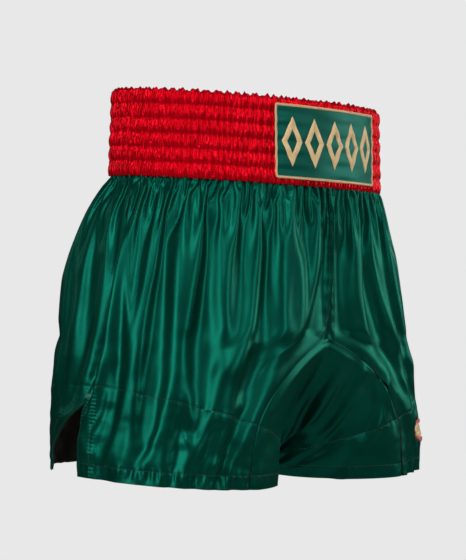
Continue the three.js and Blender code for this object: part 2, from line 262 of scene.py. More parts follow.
# How far the cloth may sink inside the smooth shape or stand out from it.
MOULD_INSET = 7.5 * MM
HEM_INSET = 3 * MM
SLIT_INSET = 0.5 * MM
FRONT_OUTSET = 4 * MM
HEM_OUTSET = 1 * MM
BACK_OUTSET = -0.5 * MM
MIDDLE_GAP = 0.2 * MM
# How much wider the satin is cut than the smooth shape, at each drop, and how much that varies.
FULLNESS_DROPS = np.array([71, 97, 133, 184, 205, 250, 336]) * MM
FULLNESS = np.array([1.42, 1.32, 1.22, 1.15, 1.12, 1.07, 1.03])
FULLNESS_SPREAD = 0.14
GUSSET_FULLNESS = 1.02
# The coarse and fine ripples of the top row, and their heights at each level of detail.
GATHER_PITCHES = np.array([11, 6]) * MM
GATHER_HEIGHTS = np.array([[0, 0], [1.3, 0], [1.2, 0.6]]) * MM
GATHER_LENGTH = 0.3
START_BUMP = 3 * MM
START_AXIS = 50 * MM
# The coarsest grid, and how each later stage of the hang differs: finer rows, finer columns,
# bending stiffness and ripple. The last grid gets more rows on the legs for the puckers.
START_COUNTS = {"upper": 14, "lower": 7, "slit": 8, "across": 28, "gusset_across": 20}
HANG_STAGES = [(1, 1, 1.0, 0), (2, 2, 1.0, 0), (2, 2, 1.0, 1), (1, 2, 0.9, 2)]
HANG_STEPS = ((400, 300, 300, 200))
LOWER_PARTS = 2
SLIT_PARTS = 3
# Passes that smooth the hung cloth, and the columns on each side of a gusset seam they take in.
SOFTEN_ACROSS = 12
SOFTEN_ALONG = 6
SEAM_COLUMNS = 34
SEAM_PASSES = 120


def lengths(vectors):
    return np.sqrt((vectors * vectors).sum(-1))


def distances(path):
    """How far along a path each of its points lies."""
    return np.concatenate([[0], np.cumsum(lengths(np.diff(path, axis=0)))])


class Springs:
    """Distance springs between the rows and columns of grids, in groups that share no point."""

    def __init__(self, rest_points, widths):
        # widths scales the rest lengths along each row.
        self.groups = []
        along_u = (rest_points[..., :, 1:, :] - rest_points[..., :, :-1, :]) * widths
        along_v = rest_points[..., 1:, :, :] - rest_points[..., :-1, :, :]
        rest_u, rest_v = lengths(along_u), lengths(along_v)
        quad_u, quad_v = along_u[..., :-1, :, :], along_v[..., :, :-1, :]
        self.add(rest_u, (0, 1), 1.0)
        self.add(rest_v, (1, 0), 1.0)
        self.add(lengths(quad_u + quad_v), (1, 1), SHEAR_STIFFNESS)
        self.add(lengths(quad_v - quad_u), (1, -1), SHEAR_STIFFNESS)
        self.add(rest_u[..., :, 1:] + rest_u[..., :, :-1], (0, 2), BEND_STIFFNESS)
        self.add(rest_v[..., 1:, :] + rest_v[..., :-1, :], (2, 0), BEND_STIFFNESS)

    def add(self, rest, step, stiffness):
        """Springs from each point to the one that is step rows and columns away."""
        down, across = step
        rows, columns = rest.shape[-2:]
        row_parts = 1 if down == 0 else 2 * down
        column_parts = 1 if down else 2 * across
        for r in range(row_parts):
            for c in range(column_parts):
                chosen = (Ellipsis, slice(r, rows, row_parts), slice(c, columns, column_parts))
                first, second = self.ends(rows, columns, step, chosen)
                self.groups.append((first, second, rest[chosen], stiffness))

    @staticmethod
    def ends(rows, columns, step, chosen):
        """The two ends of each spring, as slices of the points."""
        down, across = step
        _, row_slice, column_slice = chosen
        lean = max(0, -across)
        second_rows = slice(row_slice.start + down, rows + down, row_slice.step)

        def shifted(by):
            return slice(column_slice.start + by, columns + by, column_slice.step)

        first = (Ellipsis, row_slice, shifted(lean), slice(None))
        second = (Ellipsis, second_rows, shifted(lean + across), slice(None))
        return first, second

    def pull(self, points, bend):
        """Moves the ends of every spring towards its length; bend scales the long, soft ones."""
        for first, second, rest, stiffness in self.groups:
            gap = points[second] - points[first]
            size = lengths(gap)
            strength = stiffness * bend if stiffness == BEND_STIFFNESS else stiffness
            share = 0.5 * strength * (size - rest) / np.maximum(size, 1e-9)
            move = gap * share[..., None]
            points[first] += move
            points[second] -= move


def between_ovals(x, y, half_width, half_depth, inset, outset):
    """The factor that brings each place between an oval's inset and its outset."""
    inner = np.sqrt((x / (half_width - inset)) ** 2 + (y / (half_depth - inset)) ** 2)
    outer = np.sqrt((x / (half_width + outset)) ** 2 + (y / (half_depth + outset)) ** 2)
    return np.maximum(1, 1 / np.maximum(inner, 1e-6)) * np.minimum(1, 1 / outer)


def keep_in_mould(points, side, shape, inset, outset):
    """Keeps points between an oval body inside the leg and the most the cloth may stand out."""
    spread, half_width, half_depth, middle_y = shape
    x = side * points[..., 0] - spread
    y = points[..., 1] - middle_y
    scale = between_ovals(x, y, half_width, half_depth, inset, outset)
    points[..., 0] = side * np.maximum(spread + x * scale, MIDDLE_GAP)
    points[..., 1] = middle_y + y * scale


def unfold(points, side, shape, backwards):
    """Opens any pleat that has tipped over, so that columns keep their order round the leg."""
    spread, half_width, half_depth, middle_y = shape
    across = (spread - side * points[..., 0]) / half_width
    forward = (middle_y - points[..., 1]) / half_depth
    if backwards:
        forward = -forward
    turn = np.unwrap(np.arctan2(forward, across), axis=1)
    ahead = np.maximum.accumulate(turn, axis=1)
    behind = np.minimum.accumulate(turn[:, ::-1], axis=1)[:, ::-1]
    turn = (ahead + behind) / 2
    size = np.sqrt(across**2 + forward**2)
    forward = size * np.sin(turn) * (-1 if backwards else 1)
    points[..., 0] = side * (spread - half_width * size * np.cos(turn))
    points[..., 1] = middle_y - half_depth * forward


def near(distance, width):
    return np.exp(-((distance / width) ** 2))


def rise(distance, start, end):
    """A smooth step from 0 at start to 1 at end."""
    t = np.clip((distance - start) / (end - start), 0, 1)
    return t * t * (3 - 2 * t)


def grid_noise(rows, columns, row_cells, column_cells, rng):
    """Smooth noise from -1 to 1 on a grid."""
    lattice = rng.uniform(-1, 1, (row_cells + 2, column_cells + 2))

    def spread(count, cells):
        at = np.linspace(0, cells, count)
        cell = np.minimum(at.astype(int), cells)
        t = at - cell
        return cell, t * t * (3 - 2 * t)

    r, tr = spread(rows, row_cells)
    c, tc = spread(columns, column_cells)
    tr = tr[:, None]
    tc = tc[None]
    low = lattice[r][:, c] * (1 - tc) + lattice[r][:, c + 1] * tc
    high = lattice[r + 1][:, c] * (1 - tc) + lattice[r + 1][:, c + 1] * tc
    return low * (1 - tr) + high * tr


def tether(panels, reach):
    """No point hangs further from the top row than the cloth is long."""
    away = panels[:, 1:] - panels[:, :1]
    size = lengths(away)
    panels[:, 1:] = panels[:, :1] + away * np.minimum(1, reach / np.maximum(size, 1e-9))[..., None]


def panel_fullness(grid):
    """The fullness between the columns of each panel, with wandering patches of more and less."""
    rng = np.random.default_rng(SEED + 3)
    mean = np.interp(grid.drops, FULLNESS_DROPS, FULLNESS)[None, :, None]
    rows, columns = len(grid.drops), grid.across
    noise = np.stack([grid_noise(rows, columns, 5, 11, rng) for _ in PANEL_NAMES])
    return (mean + FULLNESS_SPREAD * noise * (mean - 1) ** 0.5)[..., None]


def panel_inset(grid):
    """How far each point of a panel may sink: least along the slit."""
    lower = rise(grid.drops, CROTCH_DROP - 60 * MM, HEM_DROP)[:, None]
    beside_slit = np.linspace(0, 1, grid.across + 1)[None] ** 3
    beside_slit = beside_slit * rise(grid.drops, SLIT_DROP - 30 * MM, SLIT_DROP + 20 * MM)[:, None]
    inset = MOULD_INSET + (HEM_INSET - MOULD_INSET) * lower
    return inset + (SLIT_INSET - inset) * beside_slit


def panel_outset(grid):
    """How far each row of a front panel may stand out."""
    lower = rise(grid.drops, GUSSET_BEND_DROP, HEM_DROP)[:, None]
    return FRONT_OUTSET + (HEM_OUTSET - FRONT_OUTSET) * lower


def gusset_fullness(gusset_drops):
    return GUSSET_FULLNESS * np.interp(gusset_drops[:, 1:], FULLNESS_DROPS, FULLNESS)[..., None]


def settle(grid, panels, gusset, steps, bend, top):
    """Lets the cloth hang from its pinned top row."""
    rest_panels = grid.panels()
    _, gusset_drops = grid.gusset_drops()
    panel_springs = Springs(rest_panels, panel_fullness(grid))
    gusset_springs = Springs(grid.gusset(), gusset_fullness(gusset_drops))
    shape = [part[:, None] for part in shape_at(grid.drops)]
    gusset_shape = list(shape_at(gusset_drops))
    legs = grid.leg_rows
    fall = np.array([0, 0, -SAG / len(grid.drops) ** 2])
    reach = np.cumsum(lengths(rest_panels[:, 1:] - rest_panels[:, :-1]), axis=1)
    panel_before, gusset_before = panels.copy(), gusset.copy()
    inset, front_outset = panel_inset(grid), panel_outset(grid)
    for _ in range(steps):
        for points, before in ((panels, panel_before), (gusset, gusset_before)):
            drift = (points - before) * DAMPING
            before[:] = points
            points += drift + fall
        panel_springs.pull(panels, bend)
        gusset_springs.pull(gusset, bend)
        for index, side in enumerate(PANEL_SIDES):
            outset = BACK_OUTSET if index % 2 else front_outset
            keep_in_mould(panels[index], side, shape, inset, outset)
        for side, rows in ((RIGHT, slice(0, legs)), (LEFT, slice(legs + 1, None))):
            part = [values[rows] for values in gusset_shape]
            keep_in_mould(gusset[rows], side, part, HEM_INSET, HEM_OUTSET)
        weld(grid, panels, gusset)
        panels[:, 0] = top
        tether(panels, reach)
    for index, side in enumerate(PANEL_SIDES):
        unfold(panels[index], side, shape, index % 2 == 1)
    weld(grid, panels, gusset)
    return panels, gusset


def refine(points, along, around):
    """Cubic interpolation to more rows and columns."""
    for axis, factor in ((-3, along), (-2, around)):
        if factor > 1:
            moved = np.moveaxis(points, axis, 0)
            count = len(moved)
            knots = np.arange(count, dtype=float)
            at = np.linspace(0, count - 1, (count - 1) * factor + 1)
            flat = moved.reshape(count, -1)
            fine = cubic_through(knots, flat, at).reshape((len(at),) + moved.shape[1:])
            points = np.moveaxis(fine, 0, axis)
    return points.copy()


def wandering_wave(count, length, pitch, rng):
    """A wave from about -1 to 1 along a row, with a pitch and a height that wander."""
    waves = int(length / pitch)
    speed = 1 + 0.45 * grid_noise(1, count, 1, waves, rng)[0]
    phase = np.cumsum(speed) - speed[0]
    phase *= 2 * math.pi * waves / phase[-1]
    height = 1 + 0.4 * grid_noise(1, count, 1, waves // 2, rng)[0]
    return height * np.sin(phase)


def gathered_top(grid, heights):
    """The pinned top row: the waist's oval, rippled as finely as the columns allow."""
    rng = np.random.default_rng(SEED)
    angles = grid.panel_angles()[:, 0]
    drop = np.full(angles.shape[1], grid.drops[0])
    rows = []
    for side, row in zip(PANEL_SIDES, angles):
        waves = [wandering_wave(len(row), GATHER_LENGTH, pitch, rng) for pitch in GATHER_PITCHES]
        ripple = heights @ np.stack(waves)
        rows.append(cloth_point(side, row, drop, ripple - GATHER_INSET))
    top = np.stack(rows)
    for right, left in ((0, 2), (1, 3)):
        top[right, 0, 0] = top[left, 0, 0] = 0
        top[left, 0] = top[right, 0]
    for front, back in ((0, 1), (2, 3)):
        top[back, -1] = top[front, -1]
    return top


def soften(points, weight, across, along):
    """Smooths out wrinkles that are finer than the cloth would hold, where weight is 1."""
    for axis, passes in ((1, across), (0, along)):
        moved = np.moveaxis(points, axis, 0)
        share = np.moveaxis(np.broadcast_to(weight, points.shape[:2])[..., None], axis, 0)[1:-1]
        for _ in range(passes):
            mean = (moved[:-2] + 2 * moved[1:-1] + moved[2:]) / 4
            moved[1:-1] += (mean - moved[1:-1]) * share


def soften_gusset_seams(grid, panels, gusset):
    """Lets the cloth pass smoothly over the seams between the gusset and the panels."""
    columns = SEAM_COLUMNS
    for panel, column, rows in gusset_joins(grid):
        side = gusset[rows] if column == 0 else gusset[rows, ::-1]
        strip = np.concatenate([panels[panel, grid.upper :, columns:0:-1], side[:, : columns + 1]], axis=1)
        weight = np.sin(np.linspace(0, math.pi, 2 * columns + 1))[None]
        soften(strip, weight, SEAM_PASSES, SEAM_PASSES // 3)
        panels[panel, grid.upper :, columns:0:-1] = strip[:, :columns]
        side[:, : columns + 1] = strip[:, columns:]
    weld(grid, panels, gusset)


def even_hem(grid, panels, gusset):
    """Brings the hem to a line that dips towards the inner legs."""
    weight = rise(grid.drops, GUSSET_TOP, HEM_DROP)

    def move(points, angles, weights):
        hem = points[0]
        dip = INNER_DIP * np.cos(np.radians(angles))
        lift = FORWARD_TILT * hem[:, 1] - HEM_DROP - dip - hem[:, 2]
        points[..., 2] += lift[None] * weights[:, None]

    for panel, angles in zip(panels, grid.panel_angles()[:, -1]):
        move(panel[::-1], angles, weight[::-1])
    share, _ = grid.gusset_drops()
    legs = grid.leg_rows
    inner_angles = share[0] * GUSSET_ANGLE
    leg_weight = weight[grid.upper :][::-1]
    move(gusset[: legs + 1], inner_angles, leg_weight)
    move(gusset[: legs - 1 : -1], inner_angles, leg_weight)


def finer_legs(grid, panels, gusset):
    """More rows below the gusset's top, where the stitching puckers are fine."""
    lower, slit = grid.lower * LOWER_PARTS, grid.slit * SLIT_PARTS
    fine = Grid(grid.upper, lower, slit, grid.across, grid.gusset_across)
    at = np.interp(fine.drops, grid.drops, np.arange(len(grid.drops)))
    climbs, fine_climbs = grid.leg_climbs(), fine.leg_climbs()
    right = np.interp(fine_climbs, climbs, np.arange(len(climbs)))
    both = np.concatenate([right, 2 * grid.leg_rows - right[-2::-1]])
    panels = np.stack([resample_rows(panel, at) for panel in panels])
    gusset = resample_rows(gusset, both)
    weld(fine, panels, gusset)
    return fine, panels, gusset


def resample_rows(points, at):
    flat = points.reshape(len(points), -1)
    fine = cubic_through(np.arange(len(points), dtype=float), flat, at)
    return fine.reshape((len(at),) + points.shape[1:])


def rough_start(panels):
    """Small seeded bumps, so that the folds have somewhere to begin."""
    rng = np.random.default_rng(SEED)
    for panel, side in zip(panels, PANEL_SIDES):
        bump = START_BUMP * grid_noise(*panel.shape[:2], 3, 16, rng)[..., None]
        outward = panel - np.array([side * START_AXIS, 0, 0])
        outward[..., 2] = 0
        outward /= lengths(outward)[..., None]
        panel += bump * outward


def hang_cloth():
    """The sewn satin, from a coarse hang to the fine gathers under the waistband."""
    grid = Grid(**START_COUNTS)
    panels, gusset = grid.panels(), grid.gusset()
    rough_start(panels)
    for (along, around, bend, ripple), steps in zip(HANG_STAGES, HANG_STEPS):
        grid = grid.refined(along, around)
        panels = refine(panels, along, around)
        gusset = refine(gusset, along, around)
        weld(grid, panels, gusset)
        top = gathered_top(grid, GATHER_HEIGHTS[ripple])
        panels, gusset = settle(grid, panels, gusset, steps, bend, top)
    weight = rise(grid.drops, BAND_HEIGHT + 14 * MM, BAND_HEIGHT + 75 * MM)[:, None]
    for panel in panels:
        soften(panel, weight, SOFTEN_ACROSS, SOFTEN_ALONG)
    soften(gusset, np.ones((1, 1)), SOFTEN_ACROSS // 2, SOFTEN_ALONG)
    weld(grid, panels, gusset)
    soften_gusset_seams(grid, panels, gusset)
    even_hem(grid, panels, gusset)
    return finer_legs(grid, panels, gusset)


# ---- cloth after the hang ------------------------------------------------------------
CLOTH_THICKNESS = 0.5 * MM
FACING_GAP = 0.4 * MM
FACING_THICKNESS = 0.5 * MM
SLIT_FACING_WIDTH = 14 * MM
HEM_STITCH_RISE = 12 * MM
HEM_PUCKER_RISE = 9 * MM
FACING_STITCH_DROP = 2 * MM
GROOVE_WIDTH = 1.2 * MM
EDGE_STITCH = 2.4 * MM
SEAM_STITCH = 2.8 * MM
SLIT_PUCKER_PITCH = 3.3 * MM
# Heights of the waves, puckers, seam valleys and stitch grooves.
BROAD_WAVE = 2.2 * MM
FINE_WAVE = 0.8 * MM
HEM_PUCKER = 0.6 * MM
HEM_GROOVE = 0.15 * MM
FACING_PUCKER = 0.2 * MM
FACING_GROOVE = 0.2 * MM
MIDDLE_VALLEY = 0.5 * MM
LEG_VALLEY = 0.35 * MM
SIDE_VALLEY = 0.45 * MM
FLAT_SEAM = 0.35 * MM
SLIT_PUCKER = 0.26 * MM
EDGE_PUCKER = 0.16 * MM
SLIT_GROOVE = 0.2 * MM
TURN_UP = 0.8 * MM


def grid_normals(points, outward):
    """Unit normals of a grid, turned to point away from the body's inside."""
    down = np.gradient(points, axis=0)
    across = np.gradient(points, axis=1)
    normals = np.cross(across, down) * outward
    return normals / np.maximum(lengths(normals), 1e-12)[..., None]


def facing_top_drop(angle):
    return HEM_DROP - FACING_DEPTH + FACING_SLOPE * np.cos(np.radians(angle))


def span_angle(length, drop):
    """The angle that spans a length of cloth at this drop."""
    _, half_width, half_depth, _ = shape_at(drop)
    return np.degrees(2 * length / (half_width + half_depth))


def arc(angle, drop):
    """The length of cloth that spans an angle at this drop."""
    _, half_width, half_depth, _ = shape_at(drop)
    return np.radians(angle) * (half_width + half_depth) / 2


class Pucker:
    """A seeded ripple along a line, for places where a seam draws the cloth in."""

    def __init__(self, pitch, rng):
        self.pitch = pitch
        self.knots = np.linspace(-1, 1, int(2 / (3 * pitch)))
        self.shift = rng.uniform(-0.9, 0.9, len(self.knots))
        self.height = rng.uniform(0.15, 1.0, len(self.knots))

    def at(self, s):
        shift = np.interp(s, self.knots, self.shift)
        return np.sin(2 * math.pi * s / self.pitch + shift * 2) * np.interp(s, self.knots, self.height)


class Cloth:
    """One piece of the hung cloth: its grid of points, normals, drops and angles."""

    def __init__(self, points, outward, drops, angles):
        self.points = points
        self.outward = outward
        self.drops = drops
        self.angles = angles
        self.normals = grid_normals(points, outward)

    def push(self, amount):
        """Moves the cloth along its normals."""
        self.points = self.points + self.normals * amount[..., None]
        self.normals = grid_normals(self.points, self.outward)

    def at(self, row, column):
        """Point and normal at fractional rows and columns."""
        return bilinear(self.points, row, column), bilinear(self.normals, row, column)


def bilinear(values, row, column):
    rows, columns = values.shape[:2]
    r = np.clip(np.floor(row).astype(int), 0, rows - 2)
    c = np.clip(np.floor(column).astype(int), 0, columns - 2)
    tr = (row - r)[..., None]
    tc = (column - c)[..., None]
    low = values[r, c] * (1 - tc) + values[r, c + 1] * tc
    high = values[r + 1, c] * (1 - tc) + values[r + 1, c + 1] * tc
    return low * (1 - tr) + high * tr


def puckered_line(along, distance, pitch, height, width, rng):
    """Ripples along a line of stitches that fade with the distance from it."""
    return height * Pucker(pitch, rng).at(along) * near(distance, width)


def hem_and_facing_push(part, rng):
    """The puckers above the hem and along the stitched top of the facing."""
    along = arc(part.angles, HEM_DROP)
    above_hem = HEM_DROP - part.drops
    below_line = part.drops - facing_top_drop(part.angles) - FACING_STITCH_DROP
    hem = puckered_line(along, above_hem - HEM_PUCKER_RISE, 7 * MM, HEM_PUCKER, 5 * MM, rng)
    hem -= HEM_GROOVE * near(above_hem - HEM_STITCH_RISE, GROOVE_WIDTH)
    line = puckered_line(along, below_line, 9 * MM, FACING_PUCKER, 7 * MM, rng)
    line -= FACING_GROOVE * near(below_line, GROOVE_WIDTH)
    return hem + line


def seam_push(part, distance, rng, depth):
    """The valley of a seam and the drawn-in cloth beside it."""
    valley = -depth * near(distance, 1.6 * MM)
    pucker = 0.6 * depth * Pucker(11 * MM, rng).at(part.drops) * near(distance, 8 * MM)
    return valley + pucker * rise(distance, 0, 2 * MM)


def undulation(part, rng):
    """Soft broad waves and a few finer dents, as in cloth that has been handled."""
    rows, columns = part.drops.shape
    hanging = rise(part.drops, BAND_HEIGHT + 12 * MM, BAND_HEIGHT + 70 * MM)
    broad = BROAD_WAVE * grid_noise(rows, columns, 6, 6, rng)
    fine = FINE_WAVE * grid_noise(rows, columns, 15, 12, rng)
    return (broad + fine) * hanging


# Folds that the crotch pulls in the left leg: angle and drop of both ends, width, height.
CROTCH_FOLDS = [
    (32, 282 * MM, 76, 220 * MM, 3.6 * MM, 4.0 * MM),
    (44, 288 * MM, 86, 226 * MM, 3.6 * MM, 3.5 * MM),
    (66, 300 * MM, 98, 232 * MM, 5 * MM, 3.0 * MM),
]


def crotch_folds(part):
    """Ridges that fan out from the crotch and fade at both ends."""
    total = 0
    for start, start_drop, end, end_drop, width, height in CROTCH_FOLDS:
        x = arc(part.angles - start, part.drops)
        y = part.drops - start_drop
        run = float(arc(end - start, (start_drop + end_drop) / 2))
        fall = end_drop - start_drop
        size = math.hypot(run, fall)
        along = (x * run + y * fall) / size**2
        across = (x * fall - y * run) / size
        fade = rise(along, -0.15, 0.2) * (1 - rise(along, 0.6, 1.15))
        total = total + height * fade * (near(across, width) - 0.5 * near(across - 1.7 * width, width))
    return total


def panel_push(part, name, rng):
    """How far each point of a panel moves out, for its waves, seams and stitching."""
    middle_gap = arc(np.abs(part.angles - part.angles[:, :1]), part.drops)
    side_gap = arc(np.abs(part.angles - part.angles[:, -1:]), part.drops)
    push = undulation(part, rng) * rise(middle_gap, 0, 20 * MM)
    on_leg = rise(part.drops, GUSSET_TOP - 5 * MM, GUSSET_TOP + 5 * MM)
    low = rise(part.drops, SLIT_DROP - 20 * MM, HEM_DROP)
    push += seam_push(part, middle_gap, rng, MIDDLE_VALLEY) * (1 - on_leg)
    push += seam_push(part, middle_gap, rng, LEG_VALLEY) * on_leg * low
    if name.startswith("front"):
        above_crotch = part.drops < GUSSET_TOP
        flat_seam = rise(middle_gap, 0.6 * MM, 1.8 * MM) - rise(middle_gap, 5 * MM, 7 * MM)
        push += FLAT_SEAM * flat_seam * above_crotch
    if name == "front_panel_left":
        push += crotch_folds(part)
    on_slit = rise(part.drops, SLIT_DROP - 12 * MM, SLIT_DROP)
    push += seam_push(part, side_gap, rng, SIDE_VALLEY) * (1 - on_slit)
    rungs = Pucker(SLIT_PUCKER_PITCH, rng).at(part.drops)
    push += SLIT_PUCKER * on_slit * rungs * near(side_gap - SLIT_FACING_WIDTH, 2.4 * MM)
    push += EDGE_PUCKER * on_slit * rungs * near(side_gap - EDGE_STITCH, 2.2 * MM)
    push -= SLIT_GROOVE * on_slit * near(side_gap - SLIT_FACING_WIDTH, 1 * MM)
    return push + hem_and_facing_push(part, rng)


def gusset_push(part, rng):
    """How far each point of the gusset moves out."""
    edge_gap = arc(gusset_angle(part.drops) - np.abs(part.angles), part.drops)
    push = undulation(part, rng) * rise(edge_gap, 0, 15 * MM)
    left_rows = np.arange(len(part.drops)) - grid.leg_rows
    push += crotch_folds(part) * rise(left_rows, 0, 12)[:, None]
    low = rise(part.drops, SLIT_DROP - 20 * MM, HEM_DROP)
    return push + seam_push(part, edge_gap, rng, LEG_VALLEY) * low + hem_and_facing_push(part, rng)


class Leg:
    """One leg of the hung cloth, found by angle round the leg and drop."""

    def __init__(self, side, front, back, gusset):
        self.side, self.front, self.back, self.gusset = side, front, back, gusset

    def surface(self, angle, drop):
        """Point and outward normal at each angle, 0 to 360 from the inner leg, and drop."""
        angle, drop = np.broadcast_arrays(np.asarray(angle, float), np.asarray(drop, float))
        signed = np.where(angle > front_edge(drop), angle - 360, angle)
        inner = np.maximum(middle_angle(drop), gusset_angle(drop))
        on_gusset = (np.abs(signed) < inner) & (drop > GUSSET_TOP)
        points, normals = np.empty(angle.shape + (3,)), np.empty(angle.shape + (3,))
        row = np.interp(drop, grid.drops, np.arange(len(grid.drops)))
        front_share = (angle - inner) / (front_edge(drop) - inner)
        back_share = (360 - inner - angle) / (360 - inner - back_edge(drop))
        for part, share, chosen in (
            (self.front, front_share, ~on_gusset & (signed >= 0)),
            (self.back, back_share, ~on_gusset & (signed < 0)),
        ):
            column = np.clip(share[chosen], 0, 1) * grid.across
            points[chosen], normals[chosen] = part.at(row[chosen], column)
        if on_gusset.any():
            row, column = self.gusset_place(signed[on_gusset], drop[on_gusset])
            points[on_gusset], normals[on_gusset] = self.gusset.at(row, column)
        return points, normals / lengths(normals)[..., None]

    def gusset_place(self, signed, drop):
        share = signed / gusset_angle(drop)
        climb = (HEM_DROP - drop) / (HEM_DROP - gusset_top_drop(share))
        climbs = grid.leg_climbs()
        row = np.interp(climb, climbs, np.arange(len(climbs)))
        if self.side == LEFT:
            row = 2 * grid.leg_rows - row
        return row, (share + 1) / 2 * grid.gusset_across


# ---- meshes --------------------------------------------------------------------------
def grid_faces(rows, columns, start, turned):
    """Faces of an open grid whose points begin at start."""
    index = start + np.arange(rows * columns).reshape(rows, columns)
    corners = [index[:-1, :-1], index[:-1, 1:], index[1:, 1:], index[1:, :-1]]
    if turned:
        corners.reverse()
    return np.stack(corners, -1).reshape(-1, 4)


def torus_faces(rows, columns, turned=False):
    """Faces of a grid that closes on itself both ways."""
    index = np.arange(rows * columns).reshape(rows, columns)
    beside = np.roll(index, -1, axis=1)
    corners = [index, beside, np.roll(beside, -1, axis=0), np.roll(index, -1, axis=0)]
    if turned:
        corners.reverse()
    return np.stack(corners, -1).reshape(-1, 4)


def mesh_object(name, points, faces, materials, face_material=None, uv=None):
    """A mesh of quads from arrays."""
    mesh = bpy.data.meshes.new(name)
    points = np.ascontiguousarray(points.reshape(-1, 3), np.float32)
    faces = np.ascontiguousarray(faces, np.int32)
    mesh.vertices.add(len(points))
    mesh.vertices.foreach_set("co", points.ravel())
    mesh.loops.add(faces.size)
    mesh.loops.foreach_set("vertex_index", faces.ravel())
    mesh.polygons.add(len(faces))
    mesh.polygons.foreach_set("loop_start", np.arange(0, faces.size, 4, dtype=np.int32))
    if face_material is not None:
        mesh.polygons.foreach_set("material_index", face_material.astype(np.int32))
    mesh.update(calc_edges=True)
    if uv is not None:
        layer = mesh.uv_layers.new(name="cloth")
        layer.data.foreach_set("uv", uv[faces.ravel()].astype(np.float32).ravel())
    mesh.shade_smooth()
    for material in materials:
        mesh.materials.append(material)
    piece = bpy.data.objects.new(name, mesh)
    bpy.context.collection.objects.link(piece)
    return piece


def shell_arrays(outer, inner, turned):
    """Points, faces and face materials of a thin closed plate: 0 outside and rims, 1 inside."""
    rows, columns = outer.shape[:2]
    count = rows * columns
    index = np.arange(count).reshape(rows, columns)
    edges = [index[0, :], index[-1, ::-1], index[::-1, 0], index[:, -1]]
    rims = [np.stack([e[:-1], e[:-1] + count, e[1:] + count, e[1:]], -1) for e in edges]
    rims = np.concatenate(rims)
    if turned:
        rims = rims[:, ::-1]
    faces = np.concatenate(
        [grid_faces(rows, columns, 0, turned), grid_faces(rows, columns, count, not turned), rims]
    )
    material = np.zeros(len(faces))
    cells = (rows - 1) * (columns - 1)
    material[cells : 2 * cells] = 1
    return np.concatenate([outer.reshape(-1, 3), inner.reshape(-1, 3)]), faces, material


def shell_object(name, outer, normals, thickness, turned, materials):
    """A thin closed plate of cloth, with its outer face on the grid."""
    points, faces, face_material = shell_arrays(outer, outer - normals * thickness, turned)
    uv = np.tile(cloth_uv(outer), (2, 1))
    return mesh_object(name, points, faces, materials, face_material, uv)


def cloth_uv(points):
    """Cloth coordinates in metres: across along a middle row, down along a middle column."""
    rows, columns = points.shape[:2]
    u, v = np.meshgrid(distances(points[rows // 2]), -distances(points[:, columns // 2]))
    return np.stack([u.ravel(), v.ravel()], -1)


def grid_area(points):
    """The width, length and area of a grid of points."""
    along = lengths(np.diff(points, axis=1))
    down = lengths(np.diff(points, axis=0))
    cells = (along[1:] + along[:-1]) / 2 * (down[:, 1:] + down[:, :-1]) / 2
    return float(along.sum(1).max()), float(down.sum(0).max()), float(cells.sum())


def place(piece, slot, *nodes):
    """Attaches a piece to the root body and hides the CAD parts that it stands for; slot is not used."""
    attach(piece, "root")
    if nodes:
        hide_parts(*nodes)
    return piece


def cut(points, fullness=1.0):
    """Works out a sheet's width, length and area by its own surface, or by its pattern's where that was cut
    fuller, and does nothing with them.
    """
    width, length, area = grid_area(points)
    area = min(area * fullness, width * fullness * length)


class Thread:
    """Rows of short stitches, gathered into one mesh."""

    LENGTH = 2.3 * MM
    GAP = 0.7 * MM
    SIDES = 6
    # A stitch has four rings: each one's place along it, and its thickness.
    REACH = np.array([0.0, 0.2, 0.8, 1.0])
    SWELL = np.array([0.4, 1.0, 1.0, 0.4])

    def __init__(self, radius):
        self.radius = radius
        self.points, self.faces, self.count = [], [], 0

    def row(self, points, normals):
        """Stitches along a path on the cloth."""
        s = distances(points)
        starts = np.arange(0, s[-1] - self.LENGTH, self.LENGTH + self.GAP)
        at = starts[:, None] + self.LENGTH * self.REACH
        self.laid(resample(points, s, at), resample(normals, s, at))

    def laid(self, centre, normal):
        """One stitch for each row of four centres."""
        along = np.gradient(centre, axis=1)
        side = np.cross(normal, along)
        side /= np.maximum(lengths(side), 1e-12)[..., None]
        turn = np.arange(self.SIDES) * 2 * math.pi / self.SIDES
        swell = (self.SWELL * self.radius)[None, :, None, None]
        lift = (self.SWELL * 0.9 - 0.5)[None, :, None] * self.radius
        ring = side[:, :, None] * np.cos(turn)[:, None] + normal[:, :, None] * np.sin(turn)[:, None]
        rings = (centre + normal * lift)[:, :, None] + ring * swell
        count = len(centre)
        corner = np.arange(self.SIDES)
        over = (corner + 1) % self.SIDES
        faces = []
        for k in range(3):
            low, high = k * self.SIDES, (k + 1) * self.SIDES
            faces.append(np.stack([low + corner, low + over, high + over, high + corner], -1))
        start_cap = np.array([[0, 3, 2, 1], [0, 5, 4, 3]])
        end_cap = np.array([[0, 1, 2, 3], [0, 3, 4, 5]]) + 3 * self.SIDES
        faces = np.concatenate(faces + [start_cap, end_cap])
        step = 4 * self.SIDES
        offset = self.count + np.arange(count)[:, None, None] * step
        self.points.append(rings.reshape(-1, 3))
        self.faces.append((faces[None] + offset).reshape(-1, 4))
        self.count += count * step

    def object(self, name, material):
        return mesh_object(name, np.concatenate(self.points), np.concatenate(self.faces), [material])


def resample(values, s, at):
    return np.stack([np.interp(at, s, values[:, k]) for k in range(3)], -1)


# ---- materials -----------------------------------------------------------------------
SATIN_WEAVE = 0.25 * MM
SATIN_SLANT = math.radians(63)
PLAIN_WEAVE = 0.4 * MM
# A wave texture repeats about every 0.3 units of its input.
WAVE_SCALE = 0.3


